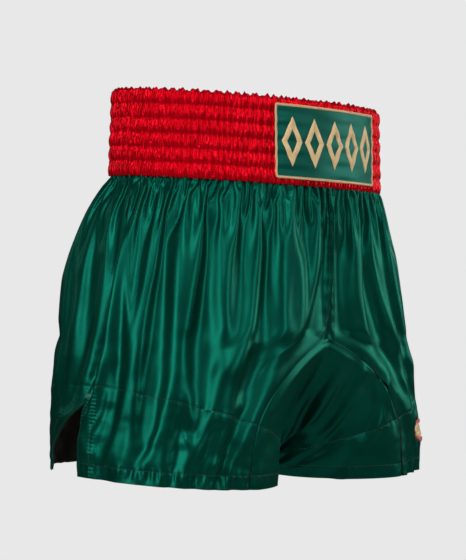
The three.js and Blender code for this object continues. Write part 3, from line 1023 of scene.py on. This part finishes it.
class Nodes:
    """Short calls for building a material's node tree."""

    def __init__(self, name):
        self.material = bpy.data.materials.new(name)
        self.material.use_nodes = True
        self.tree = self.material.node_tree
        self.shader = self.tree.nodes["Principled BSDF"]

    def new(self, kind, **settings):
        node = self.tree.nodes.new(kind)
        for key, value in settings.items():
            setattr(node, key, value)
        return node

    def link(self, source, target):
        self.tree.links.new(source, target)

    def put(self, node, **values):
        for key, value in values.items():
            node.inputs[key.replace("_", " ")].default_value = value
        return node

    def cloth_uv(self, scale, turn):
        """Cloth coordinates, scaled and turned."""
        source = self.new("ShaderNodeUVMap", uv_map="cloth")
        mapping = self.new("ShaderNodeMapping")
        mapping.inputs["Scale"].default_value = scale
        mapping.inputs["Rotation"].default_value = (0, 0, turn)
        self.link(source.outputs["UV"], mapping.inputs["Vector"])
        return mapping.outputs["Vector"]

    def place_noise(self, scale, detail):
        """Noise over the piece's own place in metres."""
        source = self.new("ShaderNodeTexCoord")
        noise = self.put(self.new("ShaderNodeTexNoise"), Scale=scale, Detail=detail)
        self.link(source.outputs["Object"], noise.inputs["Vector"])
        return noise.outputs["Fac"]

    def ramp(self, value, stops):
        ramp = self.new("ShaderNodeValToRGB")
        ramp.color_ramp.elements[0].position = stops[0][0]
        ramp.color_ramp.elements[0].color = (*stops[0][1], 1)
        ramp.color_ramp.elements[1].position = stops[-1][0]
        ramp.color_ramp.elements[1].color = (*stops[-1][1], 1)
        for position, colour in stops[1:-1]:
            ramp.color_ramp.elements.new(position).color = (*colour, 1)
        self.link(value, ramp.inputs["Fac"])
        return ramp.outputs["Color"]

    def bump(self, height, strength, distance):
        bump = self.put(self.new("ShaderNodeBump"), Strength=strength, Distance=distance)
        self.link(height, bump.inputs["Height"])
        self.link(bump.outputs["Normal"], self.shader.inputs["Normal"])


def satin(name, dark, light, roughness, tint, gloss, metallic):
    """Polyester satin: a smooth float face with a fine diagonal weave and a tinted gloss."""
    n = Nodes(name)
    colour = n.ramp(n.place_noise(22, 4.0), [(0.3, dark), (0.7, light)])
    n.link(colour, n.shader.inputs["Base Color"])
    rough = n.new("ShaderNodeMapRange")
    n.put(rough, To_Min=roughness * 0.88, To_Max=roughness * 1.12)
    n.link(n.place_noise(90, 2.0), rough.inputs["Value"])
    n.link(rough.outputs["Result"], n.shader.inputs["Roughness"])
    n.put(n.shader, Anisotropic=0.4, Specular_Tint=(*tint, 1), Specular_IOR_Level=gloss, IOR=1.55)
    n.put(n.shader, Metallic=metallic)
    tangent = n.new("ShaderNodeTangent", direction_type="UV_MAP", uv_map="cloth")
    n.link(tangent.outputs["Tangent"], n.shader.inputs["Tangent"])
    wave = n.new("ShaderNodeTexWave", bands_direction="X")
    n.put(wave, Scale=1.0, Distortion=0.6, Detail=1.0)
    step = WAVE_SCALE / SATIN_WEAVE
    n.link(n.cloth_uv((step, step, step), SATIN_SLANT), wave.inputs["Vector"])
    n.bump(wave.outputs["Fac"], 0.12, 0.05 * MM)
    return n.material


def matt_cloth(name, dark, light):
    """The dull wrong side of a cloth, with a visible plain weave."""
    n = Nodes(name)
    n.link(n.ramp(n.place_noise(30, 4.0), [(0.3, dark), (0.7, light)]), n.shader.inputs["Base Color"])
    n.put(n.shader, Roughness=0.75, Specular_IOR_Level=0.2)
    checker = n.new("ShaderNodeTexChecker")
    step = 1 / PLAIN_WEAVE
    n.link(n.cloth_uv((step, step, step), 0.0), checker.inputs["Vector"])
    checker.inputs["Scale"].default_value = 1.0
    n.bump(checker.outputs["Fac"], 0.25, 0.08 * MM)
    return n.material


def thread(name, dark, light, pitch, turn):
    """Closely laid shiny thread, as in satin stitch, with painted shade in the grooves between threads and
    a painted highlight on each thread's crest.
    """
    n = Nodes(name)
    wave = n.new("ShaderNodeTexWave", bands_direction="X")
    n.put(wave, Scale=1.0, Distortion=1.2, Detail=2.0)
    step = WAVE_SCALE / pitch
    n.link(n.cloth_uv((step, step, step), turn), wave.inputs["Vector"])
    # The colour follows the same bands as the bump: darker in the grooves (painted shade) and lighter on
    # the raised crests (painted highlight).
    n.link(n.ramp(wave.outputs["Fac"], [(0.1, dark), (0.75, light)]), n.shader.inputs["Base Color"])
    n.put(n.shader, Roughness=0.42, Sheen_Weight=0.2, Anisotropic=0.4)
    n.bump(wave.outputs["Fac"], 0.5, 0.15 * MM)
    return n.material


def sewing_thread(name, dark, light):
    """Single shiny stitches, with a fine twist."""
    n = Nodes(name)
    n.link(n.ramp(n.place_noise(900, 1.0), [(0.35, dark), (0.65, light)]), n.shader.inputs["Base Color"])
    n.put(n.shader, Roughness=0.4, Sheen_Weight=0.1)
    n.bump(n.place_noise(4000, 1.0), 0.4, 0.05 * MM)
    return n.material


# The gloss of satin takes the cloth's own colour, so part of each satin is metallic.
GREEN_TINT = (0.1, 1.0, 0.78)
GREEN = satin("green_satin", (0.0012, 0.068, 0.044), (0.0018, 0.09, 0.06), 0.35, GREEN_TINT, 0.2, 0.72)
GREEN_BACK = matt_cloth("green_satin_wrong_side", (0.002, 0.018, 0.012), (0.004, 0.026, 0.018))
PATCH_GREEN = satin("patch_satin", (0.003, 0.07, 0.05), (0.005, 0.095, 0.07), 0.4, GREEN_TINT, 0.2, 0.5)
RED = satin("red_satin", (0.56, 0.001, 0.008), (0.72, 0.002, 0.013), 0.26, (1.0, 0.06, 0.1), 0.3, 0.5)
RED_BACK = matt_cloth("red_satin_wrong_side", (0.25, 0.004, 0.01), (0.34, 0.006, 0.014))
LINING = matt_cloth("facing_lining", (0.012, 0.011, 0.009), (0.02, 0.018, 0.015))
GOLD = thread("embroidery_gold", (0.85, 0.5, 0.2), (1.0, 0.78, 0.42), 0.45 * MM, 0.0)
CORAL = thread("embroidery_coral", (0.6, 0.05, 0.06), (0.85, 0.14, 0.14), 0.45 * MM, 0.0)
BRAID = thread("gold_braid", (0.5, 0.28, 0.1), (0.95, 0.62, 0.33), 0.9 * MM, math.radians(30))
GREEN_THREAD = sewing_thread("green_thread", (0.001, 0.028, 0.018), (0.003, 0.05, 0.034))
BAR_THREAD = sewing_thread("bartack_thread", (0.01, 0.10, 0.07), (0.03, 0.2, 0.15))
ELASTIC = matt_cloth("elastic_webbing", (0.6, 0.58, 0.52), (0.75, 0.73, 0.68))


# ---- the satin body ------------------------------------------------------------------
SATIN = [GREEN, GREEN_BACK]
PANEL_FULLNESS = 1.2
grid, panels, gusset = hang_cloth()
PANEL_OUTWARD = [1, -1, -1, 1]
angles = grid.panel_angles()
panel_drops = np.broadcast_to(grid.drops[:, None], angles[0].shape)
cloth = {
    name: Cloth(points, outward, panel_drops, angle)
    for name, points, outward, angle in zip(PANEL_NAMES, panels, PANEL_OUTWARD, angles)
}
gusset_share, gusset_drop_grid = grid.gusset_drops()
gusset_angles = gusset_share * gusset_angle(gusset_drop_grid)
gusset_cloth = Cloth(gusset, -1, gusset_drop_grid, gusset_angles)
seam_rng = np.random.default_rng(SEED + 1)
for name, part in cloth.items():
    part.push(panel_push(part, name, seam_rng))
gusset_cloth.push(gusset_push(gusset_cloth, seam_rng))
weld_panels = np.stack([part.points for part in cloth.values()])
weld(grid, weld_panels, gusset_cloth.points)
for part, points in zip(cloth.values(), weld_panels):
    part.points = points
    part.normals = grid_normals(points, part.outward)

for (name, part), smooth in zip(cloth.items(), grid.panels()):
    turned = part.outward > 0
    piece = shell_object("satin_" + name, part.points, part.normals, CLOTH_THICKNESS, turned, SATIN)
    place(piece, "green_satin", name)
    cut(smooth, PANEL_FULLNESS)
part = gusset_cloth
piece = shell_object("satin_crotch_gusset", part.points, part.normals, CLOTH_THICKNESS, False, SATIN)
place(piece, "green_satin", "crotch_gusset")
cut(grid.gusset())

# ---- facings, bartacks and topstitching ----------------------------------------------
LEGS = {
    "right": Leg(RIGHT, cloth["front_panel_right"], cloth["back_panel_right"], gusset_cloth),
    "left": Leg(LEFT, cloth["front_panel_left"], cloth["back_panel_left"], gusset_cloth),
}
SEAM_GAP = 0.3 * MM
HEM_FACING_GRID = (44, 180)
SLIT_FACING_GRID = (90, 12)


def facing_points(leg, start, end):
    """The grid of a hem facing's outer face, just inside the satin."""
    rows, columns = HEM_FACING_GRID
    u = np.linspace(0, 1, columns)[None]
    v = np.linspace(0, 1, rows)[:, None]
    at_hem = start(HEM_DROP) * (1 - u) + end(HEM_DROP) * u
    drop = facing_top_drop(at_hem) * (1 - v) + (HEM_DROP - TURN_UP) * v
    angle = start(drop) * (1 - u) + end(drop) * u
    points, normals = leg.surface(angle, drop)
    return points - normals * (CLOTH_THICKNESS + FACING_GAP), normals


def slit_facing_points(leg, edge, inward):
    """The grid of a slit facing's outer face; inward is the way from the slit to its panel."""
    rows, columns = SLIT_FACING_GRID
    top = facing_top_drop(edge(HEM_DROP) + inward * span_angle(SLIT_FACING_WIDTH, HEM_DROP))
    drop = np.linspace(top, HEM_DROP - TURN_UP, rows)[:, None]
    u = np.linspace(0, 1, columns)[None]
    angle = edge(drop) + inward * u * span_angle(SLIT_FACING_WIDTH, drop)
    points, normals = leg.surface(angle, drop)
    return points - normals * (CLOTH_THICKNESS + FACING_GAP), normals


def facing_piece(kind, front_or_back, word, points, normals, turned):
    """A facing behind the front or back panel of the leg that the word names."""
    name = f"{kind}_{front_or_back}_{word}"
    piece = shell_object(f"sewn_{name}", points, normals, FACING_THICKNESS, turned, [LINING, LINING])
    place(piece, "lining", name)
    cut(points)


def beside_slit(drop):
    return span_angle(SLIT_FACING_WIDTH + SEAM_GAP, drop)


def beside_middle(drop):
    return span_angle(SEAM_GAP / 2, drop)


for word, leg in LEGS.items():
    right = leg.side == RIGHT
    front = facing_points(leg, beside_middle, lambda d: front_edge(d) - beside_slit(d))
    back = facing_points(leg, lambda d: back_edge(d) + beside_slit(d), lambda d: 360 - beside_middle(d))
    facing_piece("hem_facing", "front", word, *front, right)
    facing_piece("hem_facing", "back", word, *back, right)
    front = slit_facing_points(leg, front_edge, -1)
    back = slit_facing_points(leg, back_edge, 1)
    facing_piece("slit_facing", "front", word, *front, not right)
    facing_piece("slit_facing", "back", word, *back, right)


SEAM_THREAD_RADIUS = 0.26 * MM
BAR_THREAD_RADIUS = 0.36 * MM
BARTACK_WIDTH = 12 * MM
BARTACK_HEIGHT = 4 * MM
BARTACK_WRAPS = 22
BARTACK_LEAN = 0.03
BARTACK_LIFT = 0.25 * MM


def stitched_seams(leg):
    """Topstitching along the facing, the hem, the slit and the centre seams."""
    rows = Thread(SEAM_THREAD_RADIUS)
    drop = HEM_DROP - HEM_STITCH_RISE
    front_span = (1.0, float(front_edge(drop)) - 0.5)
    back_span = (float(back_edge(drop)) + 0.5, 359.0)
    for start, end in (front_span, back_span):
        angle = np.linspace(start, end, 700)
        rows.row(*leg.surface(angle, drop))
        rows.row(*leg.surface(angle, facing_top_drop(angle) + FACING_STITCH_DROP))
    drop = np.linspace(SLIT_DROP + 1 * MM, HEM_DROP - 2 * MM, 160)
    for inset in (EDGE_STITCH, SLIT_FACING_WIDTH - 0.5 * MM):
        turn = span_angle(inset, drop)
        rows.row(*leg.surface(front_edge(drop) - turn, drop))
        rows.row(*leg.surface(back_edge(drop) + turn, drop))
    drop = np.linspace(BAND_HEIGHT + 1 * MM, GUSSET_TOP - 2 * MM, 300)
    beside = middle_angle(drop) + span_angle(SEAM_STITCH, drop)
    rows.row(*leg.surface(beside, drop))
    rows.row(*leg.surface(360 - beside, drop))
    return rows


def bartack(leg):
    """Close wraps of thread over two rows of stitches, across the top of the slit."""
    bar = Thread(BAR_THREAD_RADIUS)
    width = span_angle(BARTACK_WIDTH, SLIT_DROP)
    share = np.linspace(-0.5, 0.5, BARTACK_WRAPS)[:, None]
    reach = Thread.REACH[None]
    drop = SLIT_DROP - BARTACK_HEIGHT * (1 - reach)
    turn = (share + (reach - 0.5) * BARTACK_LEAN) * width
    points, normals = leg.surface(front_edge(drop) + turn, drop)
    bar.laid(points + normals * BARTACK_LIFT, normals)
    for height in (0.3, 0.7):
        drop = SLIT_DROP - BARTACK_HEIGHT * height
        turn = np.linspace(-0.5, 0.5, 40) * width
        bar.row(*leg.surface(front_edge(drop) + turn, drop))
    return bar


for word, leg in LEGS.items():
    place(stitched_seams(leg).object(f"topstitching_{word}", GREEN_THREAD), "seam_thread")
    piece = bartack(leg).object(f"bartack_thread_{word}", BAR_THREAD)
    place(piece, "seam_thread", f"slit_bartack_{word}")

# ---- the smocked waistband -----------------------------------------------------------
ROUND_STEPS = 8
PLEAT_PITCH = 4.6 * MM
CASING_FULLNESS = 1.45
PUFF = 1.8 * MM
PUFF_ROOM = 1.5 * MM
PLEAT_HEIGHT = 1.0 * MM
PLEAT_ROOM = 1.3 * PLEAT_HEIGHT
CRUMPLE_PITCH = 9 * MM
RING_START = 270
GIRTH_DROP = 40 * MM
# The length of cloth round the waistband's ruffled top edge.
EDGE_LENGTH = 0.8
CASING_FACE = 0.5 * MM
CASING_COLUMNS = 1400
LINING_FACE = -5.2 * MM
LINING_COLUMNS = 1000
LINING_STEPS = 6
LINING_FULLNESS = 1.35
LINING_PUFF = 2 * MM
# How far the insides of the casing and of the lining lie behind the smooth outer face.
CASING_BACK = 1.4 * MM
LINING_BACK = 4.0 * MM
BAND_ITERATIONS = 110
PATCH_WIDTH = 142 * MM
PATCH_HEIGHT = 66 * MM
PATCH_MIDDLE = 37 * MM
PATCH_OUTSET = 2.8 * MM
FRONT_ANGLE = 90


def ring_angles(count):
    """Angles round the waist at equal steps of length, from the centre back."""
    angle = np.linspace(RING_START, RING_START + 360, 4001)
    s = distances(cloth_point(LEFT, angle, GIRTH_DROP))
    return np.interp(np.linspace(0, s[-1], count), s, angle), s[-1]


def across_front(angle, drop):
    """Distance along the waist from the centre front."""
    turn = (angle - FRONT_ANGLE + 180) % 360 - 180
    return arc(turn, drop) / arc_share(drop)


def arc_share(drop):
    """The oval's mean radius over its radius of travel at the front."""
    _, half_width, half_depth, _ = shape_at(drop)
    return (half_width + half_depth) / 2 / half_width


def keep_in_band(points, shape, inset, outset):
    """Keeps points of the waistband between two ovals."""
    _, half_width, half_depth, middle_y = shape
    x, y = points[..., 0], points[..., 1] - middle_y
    scale = between_ovals(x, y, half_width, half_depth, inset, outset)
    points[..., 0] = x * scale
    points[..., 1] = middle_y + y * scale


def smocking_waves(count, girth, rng):
    """The pleats at each stitch line, which share some of their shape."""
    base = wandering_wave(count, girth, PLEAT_PITCH, rng)
    waves = []
    for _ in range(BAND_ROWS + 1):
        own = wandering_wave(count, girth, PLEAT_PITCH * 0.9, rng)
        share = 0.55 + 0.35 * grid_noise(1, count, 1, 40, rng)[0]
        crumple = 0.7 * wandering_wave(count, girth, CRUMPLE_PITCH, rng)
        waves.append(PLEAT_HEIGHT * ((base * (1 - share) + own * share) * 1.15 + crumple))
    return np.stack(waves)


def smocked_rows(columns, steps, face, way, puff, fullness, rng, limit=None):
    """Rows of a gathered strip held by seven stitch lines, relaxed between them.

    face is the outset of the stitch lines, and way is 1 for outward puffs or -1 for inward.
    limit gives the most that outward puffs may stand out.
    """
    rows = BAND_ROWS * steps + 1
    angle, girth = ring_angles(columns + 1)
    drop = np.linspace(0, BAND_HEIGHT, rows)[:, None]
    t = (np.arange(rows) % steps / steps)[:, None]
    bulge = puff * np.sin(math.pi * t) ** 0.8
    smooth = cloth_point(LEFT, angle, drop, face + way * bulge)
    waves = smocking_waves(columns + 1, girth, rng)
    at = np.arange(rows) / steps
    low = np.minimum(at.astype(int), BAND_ROWS - 1)
    blend = (at - low)[:, None]
    ripple = waves[low] * (1 - blend) + waves[low + 1] * blend
    points = cloth_point(LEFT, angle, drop, face + way * (bulge + ripple * (1 + 0.6 * np.sin(math.pi * t))))
    pinned = points[::steps].copy()
    springs = Springs(smooth, fullness)
    shape = [part[:, None] for part in shape_at(drop[:, 0])]
    if way > 0:
        inset, outset = -(face - PLEAT_ROOM), limit(angle, drop)
    else:
        inset, outset = -(face - puff - PUFF_ROOM), face + PLEAT_ROOM
    for _ in range(BAND_ITERATIONS):
        springs.pull(points, 0.5)
        keep_in_band(points, shape, inset, outset)
        points[::steps] = pinned
        ends = (points[:, 0] + points[:, -1]) / 2
        points[:, 0] = ends
        points[:, -1] = ends
    return points, angle


def beneath_patch(angle, drop):
    """The most that the casing stands out: less where the patch is sewn over it."""
    beside = np.abs(across_front(angle, drop)) < PATCH_WIDTH / 2 + 1 * MM
    level = np.abs(drop - PATCH_MIDDLE) < PATCH_HEIGHT / 2 + 1 * MM
    return np.where(beside & level, PATCH_OUTSET - 0.5 * MM, PUFF + 2.2 * MM)


def ring_object(name, rows, turned, materials, split):
    """A closed ring from the rows of its section; rows from split on take the second material."""
    section = np.stack([row[:-1] for row in rows])
    count = section.shape[1]
    uv = cloth_uv(np.concatenate([section, section[:, :1]], axis=1)).reshape(len(rows), count + 1, 2)
    faces = torus_faces(len(rows), count, turned)
    material = np.repeat(np.arange(len(rows)) >= split, count)
    return mesh_object(name, section, faces, materials, material, uv[:, :-1].reshape(-1, 2))


band_rng = np.random.default_rng(SEED + 2)
casing, ring_angle = smocked_rows(
    CASING_COLUMNS, ROUND_STEPS, CASING_FACE, 1, PUFF, CASING_FULLNESS, band_rng, beneath_patch
)
crest_wave = wandering_wave(len(ring_angle), EDGE_LENGTH, PLEAT_PITCH, band_rng)
crest_wave += 1.3 * wandering_wave(len(ring_angle), EDGE_LENGTH, CRUMPLE_PITCH, band_rng)


def plain_row(inset, drop):
    """A smooth row of the ring, this far behind the outer face."""
    return cloth_point(LEFT, ring_angle, drop, -inset)


def crest_row(inset, drop, ruffle):
    """A row over the casing's top edge, ruffled up and down."""
    return cloth_point(LEFT, ring_angle, drop - ruffle * crest_wave, -inset)


# Rows over the top edge, from the lining to the front: inset, drop, ruffle.
CREST = [
    (4.6 * MM, 0.4 * MM, 0.2 * MM),
    (3.4 * MM, -0.9 * MM, 0.6 * MM),
    (1.4 * MM, -1.5 * MM, 0.8 * MM),
    (0.1 * MM, -0.8 * MM, 0.6 * MM),
]
front = [crest_row(inset, drop, ruffle) for inset, drop, ruffle in CREST] + list(casing)
behind = [plain_row(CASING_BACK, drop) for drop in (BAND_HEIGHT, BAND_HEIGHT / 2, 1.6 * MM)]
behind.append(plain_row(4.4 * MM, 1.6 * MM))
piece = ring_object("waistband_casing", front + behind, False, [RED, RED_BACK], len(front))
place(piece, "red_satin", "waistband_outer")

lining, ring_angle = smocked_rows(
    LINING_COLUMNS, LINING_STEPS, LINING_FACE, -1, LINING_PUFF, LINING_FULLNESS, band_rng
)
behind = [plain_row(LINING_BACK, drop) for drop in (BAND_HEIGHT, BAND_HEIGHT / 2, 2 * MM)]
piece = ring_object("waistband_lining", list(lining[1:]) + behind, True, [RED, RED_BACK], len(lining))
place(piece, "red_satin", "waistband_inner")

ELASTIC_HEIGHT = 9.2 * MM
ELASTIC_INSETS = (2.0 * MM, 3.2 * MM)
ELASTIC_RIBS = 13
ELASTIC_STEPS = 180


def elastic(number):
    """One flat woven elastic, ribbed along its length."""
    middle = (number - 0.5) * ROW_HEIGHT
    lines = np.linspace(-0.5, 0.5, ELASTIC_RIBS) * ELASTIC_HEIGHT
    rib = 0.12 * MM * (np.arange(ELASTIC_RIBS) % 2)
    outer = [plain_row(ELASTIC_INSETS[0] + r, middle + z) for z, r in zip(lines, rib)]
    inner = [plain_row(ELASTIC_INSETS[1] - r, middle + z) for z, r in zip(lines[::-1], rib)]
    return outer + inner


ring_angle, _ = ring_angles(ELASTIC_STEPS + 1)
for number in range(1, BAND_ROWS + 1):
    rows = elastic(number)
    piece = ring_object(f"elastic_webbing_{number}", rows, False, [ELASTIC], len(rows))
    place(piece, "elastic_webbing", f"elastic_band_{number}")

# ---- the patch -----------------------------------------------------------------------
PATCH_FACE = PATCH_OUTSET + 0.6 * MM
BORDER_WIDTH = 3 * MM
ROPE_HALF_WIDTH = 1.15 * MM
ROPE_HALF_HEIGHT = 0.8 * MM
ROPE_WRAP = 1.1 * MM
ROPE_SIDES = 12
MOTIFS = 5
MOTIF_WIDTH = 23 * MM
MOTIF_HEIGHT = 44 * MM
MOTIF_STROKE = 6 * MM
MOTIF_PITCH = 26 * MM
STITCH_DOME = 1.15 * MM
STITCH_TUCK = 0.3 * MM
THREAD_UV_WIDTH = 8 * MM


def patch_wave(across, up):
    """How the patch gives over the rounds beneath it."""
    rounds = np.cos(2 * math.pi * (PATCH_MIDDLE - up) / ROW_HEIGHT)
    give = np.sin(across / (9 * MM) + 1.3) * np.sin(up / (14 * MM) + 0.4)
    return 0.4 * MM * rounds * np.sin(across / (23 * MM) + 0.9) + 0.35 * MM * give


def patch_point(across, up, outset):
    """A point over the patch: across to the wearer's left and up from its middle."""
    drop = PATCH_MIDDLE - up
    turn = span_angle(across, drop) * arc_share(drop)
    return cloth_point(LEFT, FRONT_ANGLE + turn, drop, outset + patch_wave(across, up))


patch_u = np.linspace(-0.5, 0.5, 145)[None] * (PATCH_WIDTH - BORDER_WIDTH)
patch_v = np.linspace(0.5, -0.5, 69)[:, None] * (PATCH_HEIGHT - BORDER_WIDTH)
face = patch_point(patch_u, patch_v, PATCH_FACE)
back = patch_point(patch_u, patch_v, PATCH_OUTSET - 0.2 * MM)
points, faces, face_material = shell_arrays(face, back, False)
uv = np.tile(cloth_uv(face), (2, 1))
piece = mesh_object("patch_ground", points, faces, [PATCH_GREEN, RED_BACK], face_material, uv)
place(piece, "patch_satin", "front_patch")
cut(face)


def outline(corners, step):
    """Points along a closed outline, their distances along it, and its whole length."""
    corners = np.array(corners + corners[:1], float)
    s = distances(corners)
    count = int(s[-1] / step)
    at = np.arange(count) * s[-1] / count
    line = np.stack([np.interp(at, s, corners[:, k]) for k in range(2)], -1)
    return line, at, s[-1]


def border_rope():
    """A rolled edging with slanting wraps of thread."""
    half_w, half_h = (PATCH_WIDTH - BORDER_WIDTH) / 2, (PATCH_HEIGHT - BORDER_WIDTH) / 2
    corners = [(-half_w, half_h), (half_w, half_h), (half_w, -half_h), (-half_w, -half_h)]
    smooth, s, total = outline(corners, 0.22 * MM)
    for _ in range(30):
        smooth = (np.roll(smooth, 1, 0) + smooth + np.roll(smooth, -1, 0)) / 3
    ahead = np.roll(smooth, -1, 0) - np.roll(smooth, 1, 0)
    side = np.stack([-ahead[:, 1], ahead[:, 0]], -1) / lengths(ahead)[:, None]
    wraps = int(total / ROPE_WRAP)
    rows = []
    for turn in np.linspace(0, 2 * math.pi, ROPE_SIDES, endpoint=False):
        slant = np.cos(2 * math.pi * wraps * s / total + 1.6 * math.cos(turn))
        size = 1 + 0.09 * slant
        across = smooth + side * (math.cos(turn) * ROPE_HALF_WIDTH * size)[:, None]
        high = PATCH_FACE + ROPE_HALF_HEIGHT * math.sin(turn) * size
        rows.append(patch_point(across[:, 0], across[:, 1], high))
    return closed_thread("patch_braid", np.stack(rows), s, False, BRAID)


def closed_thread(name, rows, s, turned, material):
    """A closed band of thread from the rows of its section, with its length along the outline."""
    uv = np.stack(np.broadcast_arrays(s[None], np.linspace(0, THREAD_UV_WIDTH, len(rows))[:, None]), -1)
    faces = torus_faces(*rows.shape[:2], turned)
    return mesh_object(name, rows, faces, [material], uv=uv.reshape(-1, 2))


place(border_rope(), "braid", "patch_border")


def lozenge(width, height):
    return np.array([(width / 2, 0), (0, height / 2), (-width / 2, 0), (0, -height / 2)])


def satin_stitched(name, centre, width, height, inner_share, point, material):
    """A lozenge ring of satin stitch, domed across its stroke; point places it on the cloth."""
    outer, inner = lozenge(width, height), lozenge(width * inner_share, height * inner_share)
    side_steps = 90
    across_steps = 9
    rows = []
    steps = np.arange(4 * side_steps)
    corner = steps // side_steps
    part = (steps / side_steps - corner)[:, None]
    outer_line = outer[corner] * (1 - part) + outer[(corner + 1) % 4] * part
    inner_line = inner[corner] * (1 - part) + inner[(corner + 1) % 4] * part
    ridge = 1 + 0.07 * np.sin(2 * math.pi * steps / 2.5)
    near_corner = np.minimum(part[:, 0], 1 - part[:, 0])
    for k in range(across_steps + 1):
        t = k / across_steps
        line = outer_line * (1 - t) + inner_line * t
        dome = math.sin(math.pi * t) ** 0.45
        high = STITCH_DOME * dome * ridge * (0.8 + 0.2 * rise(near_corner, 0, 0.08))
        rows.append(point(centre + line[:, 0], line[:, 1], high))
    tucked = np.full(len(steps), -STITCH_TUCK)
    for line in (inner_line, outer_line):
        rows.append(point(centre + line[:, 0], line[:, 1], tucked))
    s = steps * math.hypot(width, height) / 2 / side_steps
    return closed_thread(name, np.stack(rows), s, True, material)


def on_patch(across, up, high):
    return patch_point(across, up, PATCH_FACE + high)


for number in range(1, MOTIFS + 1):
    centre = (number - (MOTIFS + 1) / 2) * MOTIF_PITCH
    share = 1 - 2 * MOTIF_STROKE / MOTIF_WIDTH
    name = f"embroidered_lozenge_{number}"
    piece = satin_stitched(name, centre, MOTIF_WIDTH, MOTIF_HEIGHT, share, on_patch, GOLD)
    place(piece, "embroidery", f"patch_motif_{number}")

EMBLEM_WIDTH = 42 * MM
EMBLEM_HEIGHT = 24 * MM
EMBLEM_ANGLE = 122
EMBLEM_DROP = 298 * MM
EMBLEM_CENTRE = 0.66


def on_leg(across, up, high):
    drop = EMBLEM_DROP - up
    points, normals = LEGS["left"].surface(EMBLEM_ANGLE + span_angle(across, drop), drop)
    return points + normals * (high + 0.1 * MM)[..., None]


piece = satin_stitched("emblem_edge", 0.0, EMBLEM_WIDTH, EMBLEM_HEIGHT, 0.7, on_leg, CORAL)
place(piece, "embroidery", "leg_emblem")
width, height = EMBLEM_WIDTH * EMBLEM_CENTRE, EMBLEM_HEIGHT * EMBLEM_CENTRE
piece = satin_stitched("emblem_centre", 0.0, width, height, 0.02, on_leg, GOLD)
place(piece, "embroidery")

# ---- stage, lights and camera --------------------------------------------------------
CAMERA_AZIMUTH = -49.5
CAMERA_DISTANCE = 1.819
EYE_LEVEL = -0.209
LOOK_SIDE = -0.0117
LOOK_DOWN = -0.0469
LENS = 127.2
FLOOR_LEVEL = -0.9
BACKGROUND = 0.807
AMBIENT = 0.022
GARMENT_MIDDLE = Vector((0, 0, -0.17))
# Name, azimuth, elevation, distance, width, height and power.
LIGHTS = [
    ("key", -86, 14, 1.9, 0.8, 1.2, 15),
    ("front", -45, 40, 2.1, 0.6, 0.7, 12),
    ("strip", 2, 16, 2.0, 0.34, 1.2, 9),
    ("side_right", 60, 14, 2.0, 0.8, 1.2, 12),
    ("back_right", 112, 20, 2.3, 0.7, 1.3, 9),
    ("back_left", -165, 25, 2.3, 0.7, 1.4, 3),
]

scene = bpy.context.scene
turn = math.radians(CAMERA_AZIMUTH)
toward_camera = Vector((math.sin(turn), -math.cos(turn), 0))
image_right = Vector((math.cos(turn), math.sin(turn), 0))
camera_data = bpy.data.cameras.new("camera")
camera_data.lens = LENS
camera = bpy.data.objects.new("camera", camera_data)
camera.location = toward_camera * CAMERA_DISTANCE + Vector((0, 0, EYE_LEVEL))
target = image_right * LOOK_SIDE + Vector((0, 0, EYE_LEVEL - LOOK_DOWN))
camera.rotation_euler = (target - camera.location).to_track_quat("-Z", "Y").to_euler()
bpy.context.collection.objects.link(camera)
scene.camera = camera


def area_light(name, azimuth, elevation, distance, width, height, power):
    """A rectangular light that faces the middle of the garment."""
    a, e = math.radians(azimuth), math.radians(elevation)
    data = bpy.data.lights.new(name, "AREA")
    data.shape = "RECTANGLE"
    data.size, data.size_y = width, height
    data.energy = power
    light = bpy.data.objects.new(name, data)
    way = Vector((math.sin(a) * math.cos(e), -math.cos(a) * math.cos(e), math.sin(e)))
    light.location = GARMENT_MIDDLE + way * distance
    light.rotation_euler = (-way).to_track_quat("-Z", "Y").to_euler()
    bpy.context.collection.objects.link(light)


for light_row in LIGHTS:
    area_light(*light_row)


def seen_and_cast(nodes, links, seen, cast):
    """A closure that shows seen to the camera and cast to everything else."""
    path = nodes.new("ShaderNodeLightPath")
    mix = nodes.new("ShaderNodeMixShader")
    links.new(path.outputs["Is Camera Ray"], mix.inputs["Fac"])
    links.new(cast, mix.inputs[1])
    links.new(seen, mix.inputs[2])
    return mix.outputs["Shader"]


world = bpy.data.worlds.new("world")
world.use_nodes = True
world_nodes, world_links = world.node_tree.nodes, world.node_tree.links
cast = world_nodes["Background"]
cast.inputs["Color"].default_value = (AMBIENT, AMBIENT, AMBIENT, 1)
seen = world_nodes.new("ShaderNodeBackground")
seen.inputs["Color"].default_value = (BACKGROUND, BACKGROUND, BACKGROUND, 1)
shown = seen_and_cast(world_nodes, world_links, seen.outputs[0], cast.outputs[0])
world_links.new(shown, world_nodes["World Output"].inputs["Surface"])
scene.world = world
scene.view_settings.view_transform = "Standard"

floor_mesh = bpy.data.meshes.new("floor")
corners = [(-9, -9, FLOOR_LEVEL), (9, -9, FLOOR_LEVEL), (9, 9, FLOOR_LEVEL), (-9, 9, FLOOR_LEVEL)]
floor_mesh.from_pydata(corners, [], [(0, 1, 2, 3)])
floor = bpy.data.objects.new("floor", floor_mesh)
bpy.context.collection.objects.link(floor)
pale = Nodes("pale_floor")
pale.put(pale.shader, Base_Color=(0.5, 0.5, 0.5, 1), Roughness=0.9)
glow = pale.new("ShaderNodeEmission")
glow.inputs["Color"].default_value = (BACKGROUND, BACKGROUND, BACKGROUND, 1)
shown = seen_and_cast(pale.tree.nodes, pale.tree.links, glow.outputs[0], pale.shader.outputs[0])
pale.link(shown, pale.tree.nodes["Material Output"].inputs["Surface"])
floor_mesh.materials.append(pale.material)
